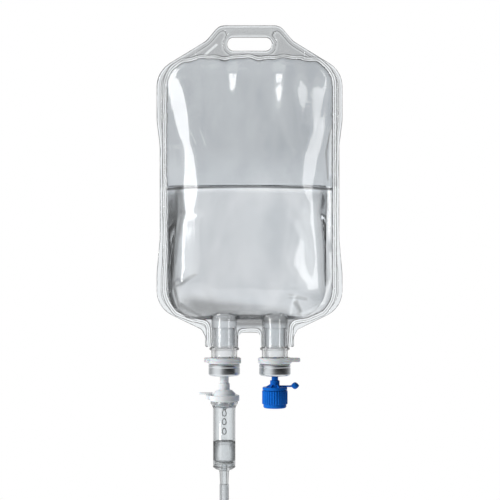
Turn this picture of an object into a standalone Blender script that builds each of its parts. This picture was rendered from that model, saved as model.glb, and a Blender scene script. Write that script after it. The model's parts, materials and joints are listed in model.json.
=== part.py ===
"""An intravenous fluid bag, hung by its slot, with a giving set in its left port and a capped
adapter in its right port.

Metres, +Z up. The origin is the middle of the hanging slot's upper edge, the line that rests on
a hook. X runs across the bag, and the front faces -Y.
"""
import math

import bmesh
import bpy
from mathutils import Matrix, Vector

# Gap left between two pieces that touch, and how finely round shapes are divided
CLEARANCE = 0.0003
RUNNING_GAP = 0.0004
OUTLINE_ARC = math.radians(22.5)
PROFILE_ARC = math.radians(50)
WIDE_STEPS = 24
SLIM_STEPS = 16
FINE_STEPS = 12

# Bag seen from the front
BAG_WIDTH = 0.1244
BAG_LENGTH = 0.1976
WAIST_DRAW = 0.0021
WAIST_HEIGHT = 0.063
WAIST_FALL = 0.1035
WAIST_EASE_ABOVE = 0.016
WAIST_EASE_BELOW = 0.023
WAIST_TOP_RADIUS = 0.040
WAIST_BOTTOM_RADIUS = 0.060
TAB_WIDTH = 0.0408
TAB_RISE = 0.0081
TAB_RADIUS = 0.005
TAB_FOOT_WIDTH = 0.0586
TAB_FOOT_FALL = 0.0020
TAB_FOOT_RADIUS = 0.012
SHOULDER_FALL = 0.0226
SHOULDER_RADIUS = 0.014
FOOT_SHOULDER_RISE = 0.0166
FOOT_SHOULDER_RADIUS = 0.024
SLOT_LENGTH = 0.030
SLOT_HEIGHT = 0.0089

# Film, its welds and how far the fluid pushes it out
FILM_THICKNESS = 0.0004
SIDE_WELD = 0.0070
TAB_WELD = 0.0059
FOOT_WELD = 0.0070
FULL_DEPTH = 0.0365
LEVEL_FALL = 0.1004
FLUID_INSET = 0.0008
PUCKER_PITCH = 0.024
PUCKER_SHARE = 0.16
PUCKER_REACH = 0.022
DENT_DEPTH = 0.0016
DENT_REACH = 0.0085
DENT_FALLS = (0.0706, 0.1189)
DENT_PLACE = 0.88
CROWN_POWER = 0.7

# Share of the full depth at each share of the chamber's height, from the top weld down
FULLNESS = (
    (0.00, 0.00), (0.06, 0.25), (0.14, 0.44), (0.28, 0.60), (0.45, 0.72),
    (0.62, 0.88), (0.77, 1.00), (0.87, 0.93), (0.94, 0.66), (1.00, 0.00),
)
CORNER_HEIGHT = 0.0175
CORNER_DRAW = 0.0200
CHAMBER_ROWS = 14
OUTER_COLUMNS = 5

# Ports
PORT_SPACING = 0.0339
NECK_DIAMETER = 0.0159
NECK_BORE = 0.0125
NECK_INSERTION = 0.0086
SLEEVE_LENGTH = 0.0096
SLEEVE_FLANGE = 0.0042
SLEEVE_SEAM = 0.0010
SLEEVE_FLARE = 0.0024
SLEEVE_FLARE_RISE = 0.0020
SLEEVE_FLARE_FALL = 0.0028
SLEEVE_OUTER_RADIUS = 0.0040
SLEEVE_INNER_RADIUS = 0.0035
RING_DIAMETER = 0.0198
RING_THICKNESS = 0.0018
THROAT_DIAMETER = 0.0175
THROAT_LENGTH = 0.0050
COLLAR_DIAMETER = 0.0226
COLLAR_HEIGHT = 0.0040
COLLAR_TAB_THICKNESS = 0.0026
LEFT_TAB_REACH = 0.0134
RIGHT_TAB_REACH = 0.0170
LEFT_TAB_WIDTH = 0.0090
RIGHT_TAB_WIDTH = 0.0070
CRIMP_DIAMETER = 0.0211
CRIMP_HEIGHT = 0.0078
CRIMP_WALL = 0.0008
CRIMP_HOLE = 0.0128
LIP_DIAMETER = 0.0189
LIP_THICKNESS = 0.0024
STOPPER_PLUG = 0.0048

# Fillets of small moulded edges, from the finest to the broadest
FINE_FILLET = 0.0003
EDGE_FILLET = 0.0006
BROAD_FILLET = 0.0010
JOINT_DEPTH = 0.0010

# Spike and drip chamber
SPIKE_DIAMETER = 0.0059
SPIKE_REACH = 0.0150
SPIKE_POINT = 0.0040
SPIKE_EXPOSED = 0.0050
SPIKE_NECK_DIAMETER = 0.0073
SPIKE_NECK_LENGTH = 0.0047
DOME_DIAMETER = 0.0145
DOME_HEIGHT = 0.0034
FLANGE_DIAMETER = 0.0202
FLANGE_THICKNESS = 0.0038
SPIKE_BORE = 0.0026
PLUG_LENGTH = 0.0030
VENT_OFFSET = 0.0098
VENT_DIAMETER = 0.0052
VENT_BORE = 0.0034
VENT_HEIGHT = 0.0030
VENT_FILTER_THICKNESS = 0.0008
FLAP_THICKNESS = 0.0011
FLAP_WIDTH = 0.0058
FLAP_REACH = 0.0169
FLAP_HINGE_OFFSET = 0.0084
FLAP_WIDE_SHARE = 0.55
FLAP_END_SHARE = 0.6
FLAP_SHOULDER = 0.0020
CHAMBER_DIAMETER = 0.0151
CHAMBER_WALL = 0.0010
CHAMBER_LENGTH = 0.0428
SOCKET_DIAMETER = 0.0183
SOCKET_LENGTH = 0.0039
SOCKET_LIP = 0.0012
SOCKET_FLARE_RADIUS = 0.0020
FORMER_LENGTH = 0.0055
FORMER_DIAMETER = 0.0022
FORMER_HEAD_DIAMETER = 0.0044
FORMER_HEAD = 0.0010
FORMER_BORE = 0.0010
CHAMBER_LEVEL = 0.0270
BASE_PLATE = 0.0023
BASE_PLUG = 0.0018
FLUID_FILTER_THICKNESS = 0.0010
SPOUT_DIAMETER = 0.0064
SPOUT_TIP_DIAMETER = 0.0056
SPOUT_LENGTH = 0.0098
SPOUT_BORE = 0.0030
SPOUT_SHOULDER = 0.0012
BASE_RIM = 0.0009

# Blue adapter and its screw cap
STEM_DIAMETER = 0.0044
STEM_EXPOSED = 0.0032
BODY_DIAMETER = 0.0064
BODY_LENGTH = 0.0045
DISC_DIAMETER = 0.0166
DISC_THICKNESS = 0.0020
SPIGOT_DIAMETER = 0.0092
SPIGOT_LENGTH = 0.0082
ADAPTER_BORE = 0.0020
ARM_THICKNESS = 0.0011
ARM_WIDTH = 0.0024
BULB_OFFSET = 0.0135
BULB_LENGTH = 0.0055
BULB_HEIGHT = 0.0048
CAP_DIAMETER = 0.0171
CAP_SKIRT = 0.0090
CAP_RIB_HEIGHT = 0.0005
CAP_RIBS = 30
CAP_FOOT_DIAMETER = 0.0155
CAP_FOOT = 0.0027
LINER_THICKNESS = 0.0010

# Infusion tube, its clamp and its coil
TUBE_DIAMETER = 0.0062
TUBE_SIDES = 2
CLAMP_FALL = 0.0230
CLAMP_LENGTH = 0.0380
CLAMP_WALL = 0.0026
CLAMP_BRIDGE = 0.0030
WHEEL_DIAMETER = 0.0094
WHEEL_TEETH = 18
WHEEL_TOOTH = 0.0003
WHEEL_TRAVEL = 0.0180
PIN_DIAMETER = 0.0026
PIN_GRIP = 0.0016
SWEEP_FALL = 0.0150
SWEEP_HEIGHT = 0.0640
COIL_RADIUS = 0.034
COIL_ACROSS = 2
COIL_DEEP = 3
COIL_LANDING = math.radians(20)
TIE_WIDTH = 0.0040
TIE_THICKNESS = 0.0008
TIE_RADIUS = 0.0020
UPPER_TIE_ANGLE = math.radians(39)

# Luer connector at the far end
LUER_SOCKET_DIAMETER = 0.0078
LUER_SOCKET_LENGTH = 0.0140
LUER_GRIP_DIAMETER = 0.0104
LUER_GRIP_LENGTH = 0.0090
LUER_TIP_DIAMETER = 0.0042
LUER_TIP_LENGTH = 0.0080
LUER_TAPER = 0.0003
LUER_BORE = 0.0022
LUER_CAP_DIAMETER = 0.0092
LUER_CAP_WALL = 0.0014
LUER_CAP_LENGTH = 0.0110
LUER_CAP_DRAFT = 0.0006

# Heights, from the slot down
BAG_BOTTOM = -BAG_LENGTH
CHAMBER_TOP = -(SLOT_HEIGHT + TAB_WELD)
CHAMBER_BOTTOM = BAG_BOTTOM + FOOT_WELD
FLUID_LEVEL = -LEVEL_FALL
NECK_TOP = BAG_BOTTOM + NECK_INSERTION
SLEEVE_END = BAG_BOTTOM - SLEEVE_LENGTH
RING_TOP = SLEEVE_END - CLEARANCE
RING_BOTTOM = RING_TOP - RING_THICKNESS
COLLAR_TOP = RING_BOTTOM - THROAT_LENGTH
COLLAR_BOTTOM = COLLAR_TOP - COLLAR_HEIGHT
CRIMP_TOP = COLLAR_BOTTOM - CLEARANCE
CRIMP_BOTTOM = CRIMP_TOP - CRIMP_HEIGHT
LIP_TOP = CRIMP_TOP - CRIMP_WALL - CLEARANCE
LIP_BOTTOM = LIP_TOP - LIP_THICKNESS
STOPPER_FACE = LIP_BOTTOM - CLEARANCE
STOPPER_BOTTOM = CRIMP_BOTTOM + CRIMP_WALL + CLEARANCE
STOPPER_TOP = STOPPER_FACE + STOPPER_PLUG
SPIKE_TIP = CRIMP_BOTTOM + SPIKE_REACH
NECK_START = CRIMP_BOTTOM - SPIKE_EXPOSED
DOME_TOP = NECK_START - SPIKE_NECK_LENGTH
FLANGE_TOP = DOME_TOP - DOME_HEIGHT
FLANGE_BOTTOM = FLANGE_TOP - FLANGE_THICKNESS
BARREL_TOP = FLANGE_BOTTOM - CLEARANCE
BARREL_BOTTOM = BARREL_TOP - CHAMBER_LENGTH
FORMER_TOP = FLANGE_BOTTOM - PLUG_LENGTH - CLEARANCE
BASE_TOP = BARREL_BOTTOM - CLEARANCE
BASE_BOTTOM = BASE_TOP - BASE_PLATE
SPOUT_END = BASE_BOTTOM - SPOUT_LENGTH
TUBE_TOP = SPOUT_END - CLEARANCE
STEM_END = CRIMP_BOTTOM - STEM_EXPOSED
DISC_TOP = STEM_END - BODY_LENGTH
DISC_BOTTOM = DISC_TOP - DISC_THICKNESS
CAP_TOP = DISC_BOTTOM - CLEARANCE
CAP_STEP = CAP_TOP - CAP_SKIRT
CAP_BOTTOM = CAP_STEP - CAP_FOOT
SPIGOT_END = DISC_BOTTOM - SPIGOT_LENGTH
CLAMP_TOP = TUBE_TOP - CLAMP_FALL
CLAMP_BOTTOM = CLAMP_TOP - CLAMP_LENGTH
SWEEP_TOP = CLAMP_BOTTOM - SWEEP_FALL
COIL_CENTRE = SWEEP_TOP - SWEEP_HEIGHT

# Widths and places that follow
PORT_X = PORT_SPACING / 2
CHAMBER_HALF_WIDTH = BAG_WIDTH / 2 - SIDE_WELD
HALF_DEPTH = FULL_DEPTH / 2
CHAMBER_BORE_RADIUS = CHAMBER_DIAMETER / 2 - CHAMBER_WALL
TUNNEL_SIDES = 6
TUNNEL_RADIUS = (NECK_DIAMETER / 2 + CLEARANCE) / math.cos(math.pi / (2 * TUNNEL_SIDES))
COIL_FRONT = TUBE_DIAMETER / 2 + CLEARANCE
COIL_HALF_DEPTH = COIL_DEEP * TUBE_DIAMETER / 2
COIL_HALF_BAND = COIL_ACROSS * TUBE_DIAMETER / 2
COIL_Y = COIL_FRONT + COIL_HALF_DEPTH
CLAMP_CHANNEL = TUBE_DIAMETER / 2 + RUNNING_GAP
WHEEL_Y = -(TUBE_DIAMETER / 2 + RUNNING_GAP + WHEEL_DIAMETER / 2)
LUER_X = -PORT_X - COIL_RADIUS
LUER_Y = COIL_FRONT - CLEARANCE - LUER_GRIP_DIAMETER / 2

PARTS = "iv_fluid_bag"
CUTTERS = "cutters"


def material(name, colour, roughness, metallic=0.0, alpha=1.0, transmission=0.0):
    """A Principled material, made once for each name."""
    finish = bpy.data.materials.get(name)
    if finish:
        return finish
    finish = bpy.data.materials.new(name)
    finish.use_nodes = True
    shader = finish.node_tree.nodes["Principled BSDF"]
    shader.inputs["Base Color"].default_value = (*colour, 1.0)
    shader.inputs["Roughness"].default_value = roughness
    shader.inputs["Metallic"].default_value = metallic
    shader.inputs["Alpha"].default_value = alpha
    shader.inputs["Transmission Weight"].default_value = transmission
    finish.diffuse_color = (*colour, alpha)
    return finish


def film_clear():
    return material("film_clear", (0.80, 0.84, 0.87), 0.12, alpha=0.45)


def water():
    return material("water", (0.86, 0.90, 0.93), 0.02, transmission=1.0)


def port_plastic():
    return material("port_plastic", (0.74, 0.78, 0.80), 0.28, alpha=0.7)


def stopper_rubber():
    return material("stopper_rubber", (0.42, 0.44, 0.46), 0.75)


def crimp_aluminium():
    return material("crimp_aluminium", (0.62, 0.65, 0.68), 0.30, metallic=1.0)


def spike_white():
    return material("spike_white", (0.80, 0.82, 0.84), 0.35)


def filter_felt():
    return material("filter_felt", (0.83, 0.84, 0.83), 0.90)


def chamber_clear():
    return material("chamber_clear", (0.84, 0.87, 0.89), 0.10, alpha=0.40)


def adapter_blue():
    return material("adapter_blue", (0.012, 0.12, 0.52), 0.32)


def tube_clear():
    return material("tube_clear", (0.78, 0.82, 0.85), 0.18, alpha=0.55)


def tie_white():
    return material("tie_white", (0.82, 0.82, 0.80), 0.50)


def collection(name):
    """The named collection, made and linked on its first use."""
    found = bpy.data.collections.get(name)
    if not found:
        found = bpy.data.collections.new(name)
        bpy.context.scene.collection.children.link(found)
    return found


def add_object(name, data, finish, group=PARTS):
    """An object around a mesh or curve, in the parts' collection or the cutters'."""
    made = bpy.data.objects.new(name, data)
    collection(group).objects.link(made)
    if finish:
        data.materials.append(finish)
    if group == CUTTERS:
        made.hide_render = True
        made.display_type = "WIRE"
    return made


def rounded(corners, closed=True, arc_step=OUTLINE_ARC):
    """Points of an outline given as corners (across, up, radius), with round corners as arcs."""
    points = []
    count = len(corners)
    for index, (across, up, radius) in enumerate(corners):
        corner = Vector((across, up))
        at_end = not closed and index in (0, count - 1)
        if radius <= 0 or at_end:
            points.append(corner)
            continue
        before = Vector(corners[index - 1][:2]) - corner
        after = Vector(corners[(index + 1) % count][:2]) - corner
        half_angle = before.angle(after) / 2
        reach = min(radius / math.tan(half_angle), 0.49 * min(before.length, after.length))
        fitted = reach * math.tan(half_angle)
        before.normalize()
        after.normalize()
        centre = corner + (before + after).normalized() * fitted / math.sin(half_angle)
        spoke = corner + before * reach - centre
        sweep = math.pi - 2 * half_angle
        side = math.copysign(1, after.cross(before))
        steps = math.ceil(sweep / arc_step)
        for step in range(steps + 1):
            points.append(centre + Matrix.Rotation(side * sweep * step / steps, 2) @ spoke)
    return points


def turned(name, corners, finish, at=(0, 0, 0), steps=SLIM_STEPS, group=PARTS):
    """A turned piece: corners (radius, height, corner radius) down the outer side, then back up.

    A profile that starts on the axis is solid, and any other is a closed loop round a bore.
    """
    closed = corners[0][0] > 0
    profile = rounded(corners, closed, PROFILE_ARC)
    mesh = bpy.data.meshes.new(name)
    edges = [(index, index + 1) for index in range(len(profile) - 1)]
    if closed:
        edges.append((len(profile) - 1, 0))
    mesh.from_pydata([(point.x, 0, point.y) for point in profile], edges, [])
    piece = add_object(name, mesh, finish, group)
    piece.location = at
    screw = piece.modifiers.new("turn", "SCREW")
    screw.steps = steps
    screw.render_steps = steps
    screw.use_merge_vertices = True
    screw.merge_threshold = 0.00001
    screw.use_smooth_shade = True
    return piece


def plate(name, outlines, thickness, finish, group=PARTS):
    """A flat plate in X and Y, centred on Z = 0: the first outline is its edge, the rest holes."""
    curve = bpy.data.curves.new(name, "CURVE")
    curve.dimensions = "2D"
    curve.fill_mode = "BOTH"
    curve.extrude = thickness / 2
    for outline in outlines:
        spline = curve.splines.new("POLY")
        spline.points.add(len(outline) - 1)
        for point, (across, up) in zip(spline.points, outline):
            point.co = (across, up, 0, 1)
        spline.use_cyclic_u = True
    guide = add_object(name + "_outline", curve, None, CUTTERS)
    bpy.context.view_layer.update()
    graph = bpy.context.evaluated_depsgraph_get()
    mesh = bpy.data.meshes.new_from_object(guide.evaluated_get(graph))
    bpy.data.objects.remove(guide)
    work = bmesh.new()
    work.from_mesh(mesh)
    bmesh.ops.remove_doubles(work, verts=work.verts, dist=0.000001)
    bmesh.ops.recalc_face_normals(work, faces=work.faces)
    work.to_mesh(mesh)
    work.free()
    mesh.name = name
    return add_object(name, mesh, finish, group)


def box(name, low, high, finish, group=PARTS):
    """A box between two corners."""
    work = bmesh.new()
    bmesh.ops.create_cube(work, size=1)
    low = Vector(low)
    high = Vector(high)
    bmesh.ops.scale(work, vec=high - low, verts=work.verts)
    bmesh.ops.translate(work, vec=(high + low) / 2, verts=work.verts)
    mesh = bpy.data.meshes.new(name)
    work.to_mesh(mesh)
    work.free()
    return add_object(name, mesh, finish, group)


def rod(name, radius, bottom, top, at_x, group=CUTTERS):
    """An upright cylinder, used as a cutter or as a limb that is joined to another piece."""
    corners = [(0, top, 0), (radius, top, 0), (radius, bottom, 0), (0, bottom, 0)]
    return turned(name, corners, None, (at_x, 0, 0), SLIM_STEPS, group)


def combine(piece, other, operation):
    """Cut, join or intersect a piece with another, which stays as a hidden cutter."""
    cut = piece.modifiers.new(operation.lower(), "BOOLEAN")
    cut.operation = operation
    cut.solver = "EXACT"
    cut.object = other


def ribbed_outline(radius, rib, count):
    """A circle with rounded ribs: three points a rib, low, high, high."""
    points = []
    for index in range(count * 3):
        angle = 2 * math.pi * index / (count * 3)
        reach = radius - rib if index % 3 == 0 else radius
        points.append(Vector((math.cos(angle), math.sin(angle))) * reach)
    return points


def mirrored(right_half):
    """A closed outline from its right half, listed from the top down."""
    left_half = [(-across, up, radius) for across, up, radius in reversed(right_half)]
    return rounded(right_half + left_half)


def film_outline():
    """The film's edge from the front: tab, shoulders, waist and the two port sleeves."""
    half = BAG_WIDTH / 2
    waist = half - WAIST_DRAW
    waist_top = -(WAIST_FALL - WAIST_HEIGHT / 2)
    waist_bottom = -(WAIST_FALL + WAIST_HEIGHT / 2)
    sleeve_outer = PORT_X + TUNNEL_RADIUS + SLEEVE_FLANGE
    sleeve_inner = PORT_X - TUNNEL_RADIUS - SLEEVE_SEAM
    return mirrored([
        (TAB_WIDTH / 2, TAB_RISE, TAB_RADIUS),
        (TAB_FOOT_WIDTH / 2, -TAB_FOOT_FALL, TAB_FOOT_RADIUS),
        (half, -SHOULDER_FALL, SHOULDER_RADIUS),
        (half, waist_top + WAIST_EASE_ABOVE, WAIST_TOP_RADIUS),
        (waist, waist_top, WAIST_TOP_RADIUS),
        (waist, waist_bottom, WAIST_BOTTOM_RADIUS),
        (half, waist_bottom - WAIST_EASE_BELOW, WAIST_BOTTOM_RADIUS),
        (half, BAG_BOTTOM + FOOT_SHOULDER_RISE, FOOT_SHOULDER_RADIUS),
        (sleeve_outer + SLEEVE_FLARE, BAG_BOTTOM + SLEEVE_FLARE_RISE, SLEEVE_INNER_RADIUS),
        (sleeve_outer, BAG_BOTTOM - SLEEVE_FLARE_FALL, SLEEVE_OUTER_RADIUS),
        (sleeve_outer, SLEEVE_END, SLEEVE_SEAM),
        (sleeve_inner, SLEEVE_END, SLEEVE_SEAM / 2),
        (sleeve_inner, BAG_BOTTOM, SLEEVE_INNER_RADIUS),
    ])


def slot_outline():
    """The hanging slot: round ends, its upper edge at the origin's height."""
    half = SLOT_LENGTH / 2
    radius = SLOT_HEIGHT / 2
    return mirrored([(half, 0, radius), (half, -SLOT_HEIGHT, radius)])


def smooth_share(stations, at):
    """The value at a share between stations, eased so that no station shows as a crease."""
    for (start, low), (end, high) in zip(stations, stations[1:]):
        if at <= end:
            step = max(0.0, (at - start) / (end - start))
            eased = 0.5 * step + 0.5 * step * step * (3 - 2 * step)
            return low + (high - low) * eased
    return stations[-1][1]


def chamber_half_width(z):
    """Half the width of the unwelded chamber at a height: straight sides, elliptic corners."""
    from_end = min(CHAMBER_TOP - z, z - CHAMBER_BOTTOM)
    missing = max(0.0, 1 - from_end / CORNER_HEIGHT)
    return CHAMBER_HALF_WIDTH - CORNER_DRAW * (1 - math.sqrt(max(0.0, 1 - missing * missing)))


def bag_depth(x, z):
    """How far the fluid and air push one film out from the bag's middle plane."""
    if not CHAMBER_BOTTOM < z < CHAMBER_TOP:
        return 0.0
    across = abs(x) / chamber_half_width(z)
    if across >= 1:
        return 0.0
    share = (CHAMBER_TOP - z) / (CHAMBER_TOP - CHAMBER_BOTTOM)
    depth = HALF_DEPTH * smooth_share(FULLNESS, share) * (1 - across * across) ** CROWN_POWER
    fade = math.exp(-(CHAMBER_TOP - z) / PUCKER_REACH)
    depth *= 1 + PUCKER_SHARE * fade * math.cos(2 * math.pi * x / PUCKER_PITCH)
    for fall in DENT_FALLS:
        along = (z + fall) / DENT_REACH
        aside = (abs(x) - DENT_PLACE * CHAMBER_HALF_WIDTH) / DENT_REACH
        depth -= DENT_DEPTH * math.exp(-along * along - aside * aside)
    return max(0.0, depth)


def port_depth(x, z):
    """The tunnel that a port tube makes in one film, fading out above the tube's top."""
    aside = min(abs(x - PORT_X), abs(x + PORT_X)) / TUNNEL_RADIUS
    if aside >= 1:
        return 0.0
    above = max(0.0, z - NECK_TOP) / (2 * NECK_DIAMETER)
    fade = max(0.0, 1 - above) ** 2
    return TUNNEL_RADIUS * math.sqrt(1 - aside * aside) * fade


def film_depth(x, z):
    """Distance of a film's inner face from the middle plane."""
    return CLEARANCE / 2 + max(bag_depth(x, z), port_depth(x, z))


def film_columns():
    """The grid's places across: finer over the ports and towards the side welds."""
    inner = PORT_X - TUNNEL_RADIUS
    outer = PORT_X + TUNNEL_RADIUS
    places = [0.0, inner / 2]
    for index in range(TUNNEL_SIDES + 1):
        places.append(PORT_X - TUNNEL_RADIUS * math.cos(math.pi * index / TUNNEL_SIDES))
    for index in range(1, OUTER_COLUMNS + 1):
        share = math.sin(math.pi / 2 * index / OUTER_COLUMNS)
        places.append(outer + (CHAMBER_HALF_WIDTH - outer) * share)
    places.append(BAG_WIDTH / 2 + SIDE_WELD)
    return [-place for place in reversed(places[1:])] + places


def film_rows(top=TAB_RISE + TAB_WELD):
    """The grid's heights from a top down: finer towards the two end welds."""
    rows = [TAB_RISE + TAB_WELD]
    height = CHAMBER_TOP - CHAMBER_BOTTOM
    for index in range(CHAMBER_ROWS + 1):
        share = (1 - math.cos(math.pi * index / CHAMBER_ROWS)) / 2
        rows.append(CHAMBER_TOP - height * share)
    rows.append(SLEEVE_END - FOOT_WELD)
    kept = [row for row in rows if row < top]
    return [top] + kept


def film_grid(side, depth, rows):
    """An open sheet on the grid: side is -1 for the front film and 1 for the back."""
    work = bmesh.new()
    columns = film_columns()
    lines = []
    for z in rows:
        lines.append([work.verts.new((x, side * depth(x, z), z)) for x in columns])
    for upper, lower in zip(lines, lines[1:]):
        for index in range(len(columns) - 1):
            corners = [upper[index], lower[index], lower[index + 1], upper[index + 1]]
            if side > 0:
                corners = corners[:1] + corners[:0:-1]
            work.faces.new(corners)
    bmesh.ops.triangulate(work, faces=work.faces, quad_method="FIXED")
    return work


def mesh_from(work, name):
    """Write a bmesh to a new mesh and free it."""
    mesh = bpy.data.meshes.new(name)
    work.to_mesh(mesh)
    work.free()
    mesh.shade_smooth()
    return mesh


def stand_up(piece):
    """Turn a plate drawn in X and Y so that it stands in X and Z."""
    piece.rotation_euler = (math.pi / 2, 0, 0)


def build_films():
    """Two sheets, welded flat at the border, blown apart inside and arched over the ports."""
    outlines = [film_outline(), slot_outline()]
    for name, side in (("front_film", -1), ("back_film", 1)):
        sheet = add_object(name, mesh_from(film_grid(side, film_depth, film_rows()), name),
                           film_clear())
        wall = sheet.modifiers.new("wall", "SOLIDIFY")
        wall.thickness = FILM_THICKNESS
        wall.offset = 1
        wall.use_even_offset = True
        stencil = plate(name + "_stencil", outlines, 2 * FULL_DEPTH, None, CUTTERS)
        stand_up(stencil)
        combine(sheet, stencil, "INTERSECT")


def fluid_depth(x, z):
    """Distance of the fluid's face from the middle plane, a little inside the film."""
    return max(CLEARANCE / 6, film_depth(x, z) - FLUID_INSET)


def build_fluid():
    """The fluid: a half against the front film, mirrored, cut at its level and let into the necks."""
    work = film_grid(-1, fluid_depth, film_rows(FLUID_LEVEL + 2 * FLUID_INSET))
    rim = [edge for edge in work.edges if edge.is_boundary]
    wall = bmesh.ops.extrude_edge_only(work, edges=rim)
    for vert in (item for item in wall["geom"] if isinstance(item, bmesh.types.BMVert)):
        vert.co.y = 0
    bmesh.ops.recalc_face_normals(work, faces=work.faces)
    fluid = add_object("bag_fluid", mesh_from(work, "bag_fluid"), water())
    halves = fluid.modifiers.new("halves", "MIRROR")
    halves.use_axis = (False, True, False)
    halves.merge_threshold = 0.00001
    side = CHAMBER_HALF_WIDTH - 2 * FLUID_INSET
    bottom = NECK_TOP + CLEARANCE
    inner_edge = mirrored([
        (side, FLUID_LEVEL, 0),
        (side, bottom, CORNER_DRAW),
    ])
    stencil = plate("fluid_stencil", [inner_edge], 2 * FULL_DEPTH, None, CUTTERS)
    stand_up(stencil)
    combine(fluid, stencil, "INTERSECT")
    foot = STOPPER_TOP + CLEARANCE
    roof = SPIKE_TIP + CLEARANCE
    for x, diameter in ((-PORT_X, SPIKE_DIAMETER), (PORT_X, STEM_DIAMETER)):
        wide = NECK_BORE / 2 - CLEARANCE
        pocket = diameter / 2 + CLEARANCE
        column = turned("neck_column", [
            (0, bottom + NECK_INSERTION / 3, 0), (wide, bottom + NECK_INSERTION / 3, 0),
            (wide, foot, 0), (pocket, foot, 0), (pocket, roof, 0), (0, roof, 0),
        ], None, (x, 0, 0), SLIM_STEPS, CUTTERS)
        combine(fluid, column, "UNION")


def build_port(side_name, x, tab_reach, tab_width, shaft):
    """One port: tube with ring and lip, collar with a tab, stopper and crimp cap."""
    neck = NECK_DIAMETER / 2
    bore = NECK_BORE / 2
    throat = THROAT_DIAMETER / 2
    lip = LIP_DIAMETER / 2
    turned(side_name + "_port_tube", [
        (neck, NECK_TOP, EDGE_FILLET), (neck, RING_TOP, 0),
        (RING_DIAMETER / 2, RING_TOP, EDGE_FILLET), (RING_DIAMETER / 2, RING_BOTTOM, EDGE_FILLET),
        (throat, RING_BOTTOM, 0), (throat, LIP_TOP, 0),
        (lip, LIP_TOP, 0), (lip, LIP_BOTTOM, 0), (bore, LIP_BOTTOM, 0), (bore, NECK_TOP, 0),
    ], port_plastic(), (x, 0, 0), WIDE_STEPS)

    collar_bore = throat + CLEARANCE
    collar = turned(side_name + "_port_collar", [
        (COLLAR_DIAMETER / 2, COLLAR_TOP, BROAD_FILLET),
        (COLLAR_DIAMETER / 2, COLLAR_BOTTOM, BROAD_FILLET),
        (collar_bore, COLLAR_BOTTOM, 0), (collar_bore, COLLAR_TOP, 0),
    ], port_plastic(), (x, 0, 0), WIDE_STEPS)
    outward = -1 if x < 0 else 1
    root = collar_bore + JOINT_DEPTH
    ear = rounded([
        (root, -tab_width / 2, 0), (tab_reach, -tab_width / 2, tab_width / 2.2),
        (tab_reach, tab_width / 2, tab_width / 2.2), (root, tab_width / 2, 0),
    ])
    ear = [Vector((point.x * outward, point.y)) for point in ear]
    tab = plate(side_name + "_collar_ear", [ear], COLLAR_TAB_THICKNESS, None, CUTTERS)
    tab.location = (x, 0, COLLAR_TOP - COLLAR_TAB_THICKNESS / 2 - FINE_FILLET)
    combine(collar, tab, "UNION")

    hole = shaft / 2 + CLEARANCE
    plug = bore - CLEARANCE
    turned(side_name + "_port_stopper", [
        (plug, STOPPER_TOP, EDGE_FILLET), (plug, STOPPER_FACE, 0), (lip, STOPPER_FACE, 0),
        (lip, STOPPER_BOTTOM, 0), (hole, STOPPER_BOTTOM, 0), (hole, STOPPER_TOP, 0),
    ], stopper_rubber(), (x, 0, 0))

    outer = CRIMP_DIAMETER / 2
    inner = outer - CRIMP_WALL
    turned(side_name + "_crimp_cap", [
        (outer, CRIMP_TOP, EDGE_FILLET), (outer, CRIMP_BOTTOM, BROAD_FILLET),
        (CRIMP_HOLE / 2, CRIMP_BOTTOM, 0), (CRIMP_HOLE / 2, CRIMP_BOTTOM + CRIMP_WALL, 0),
        (inner, CRIMP_BOTTOM + CRIMP_WALL, 0), (inner, CRIMP_TOP - CRIMP_WALL, 0),
        (collar_bore, CRIMP_TOP - CRIMP_WALL, 0), (collar_bore, CRIMP_TOP, 0),
    ], crimp_aluminium(), (x, 0, 0), WIDE_STEPS)


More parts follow.
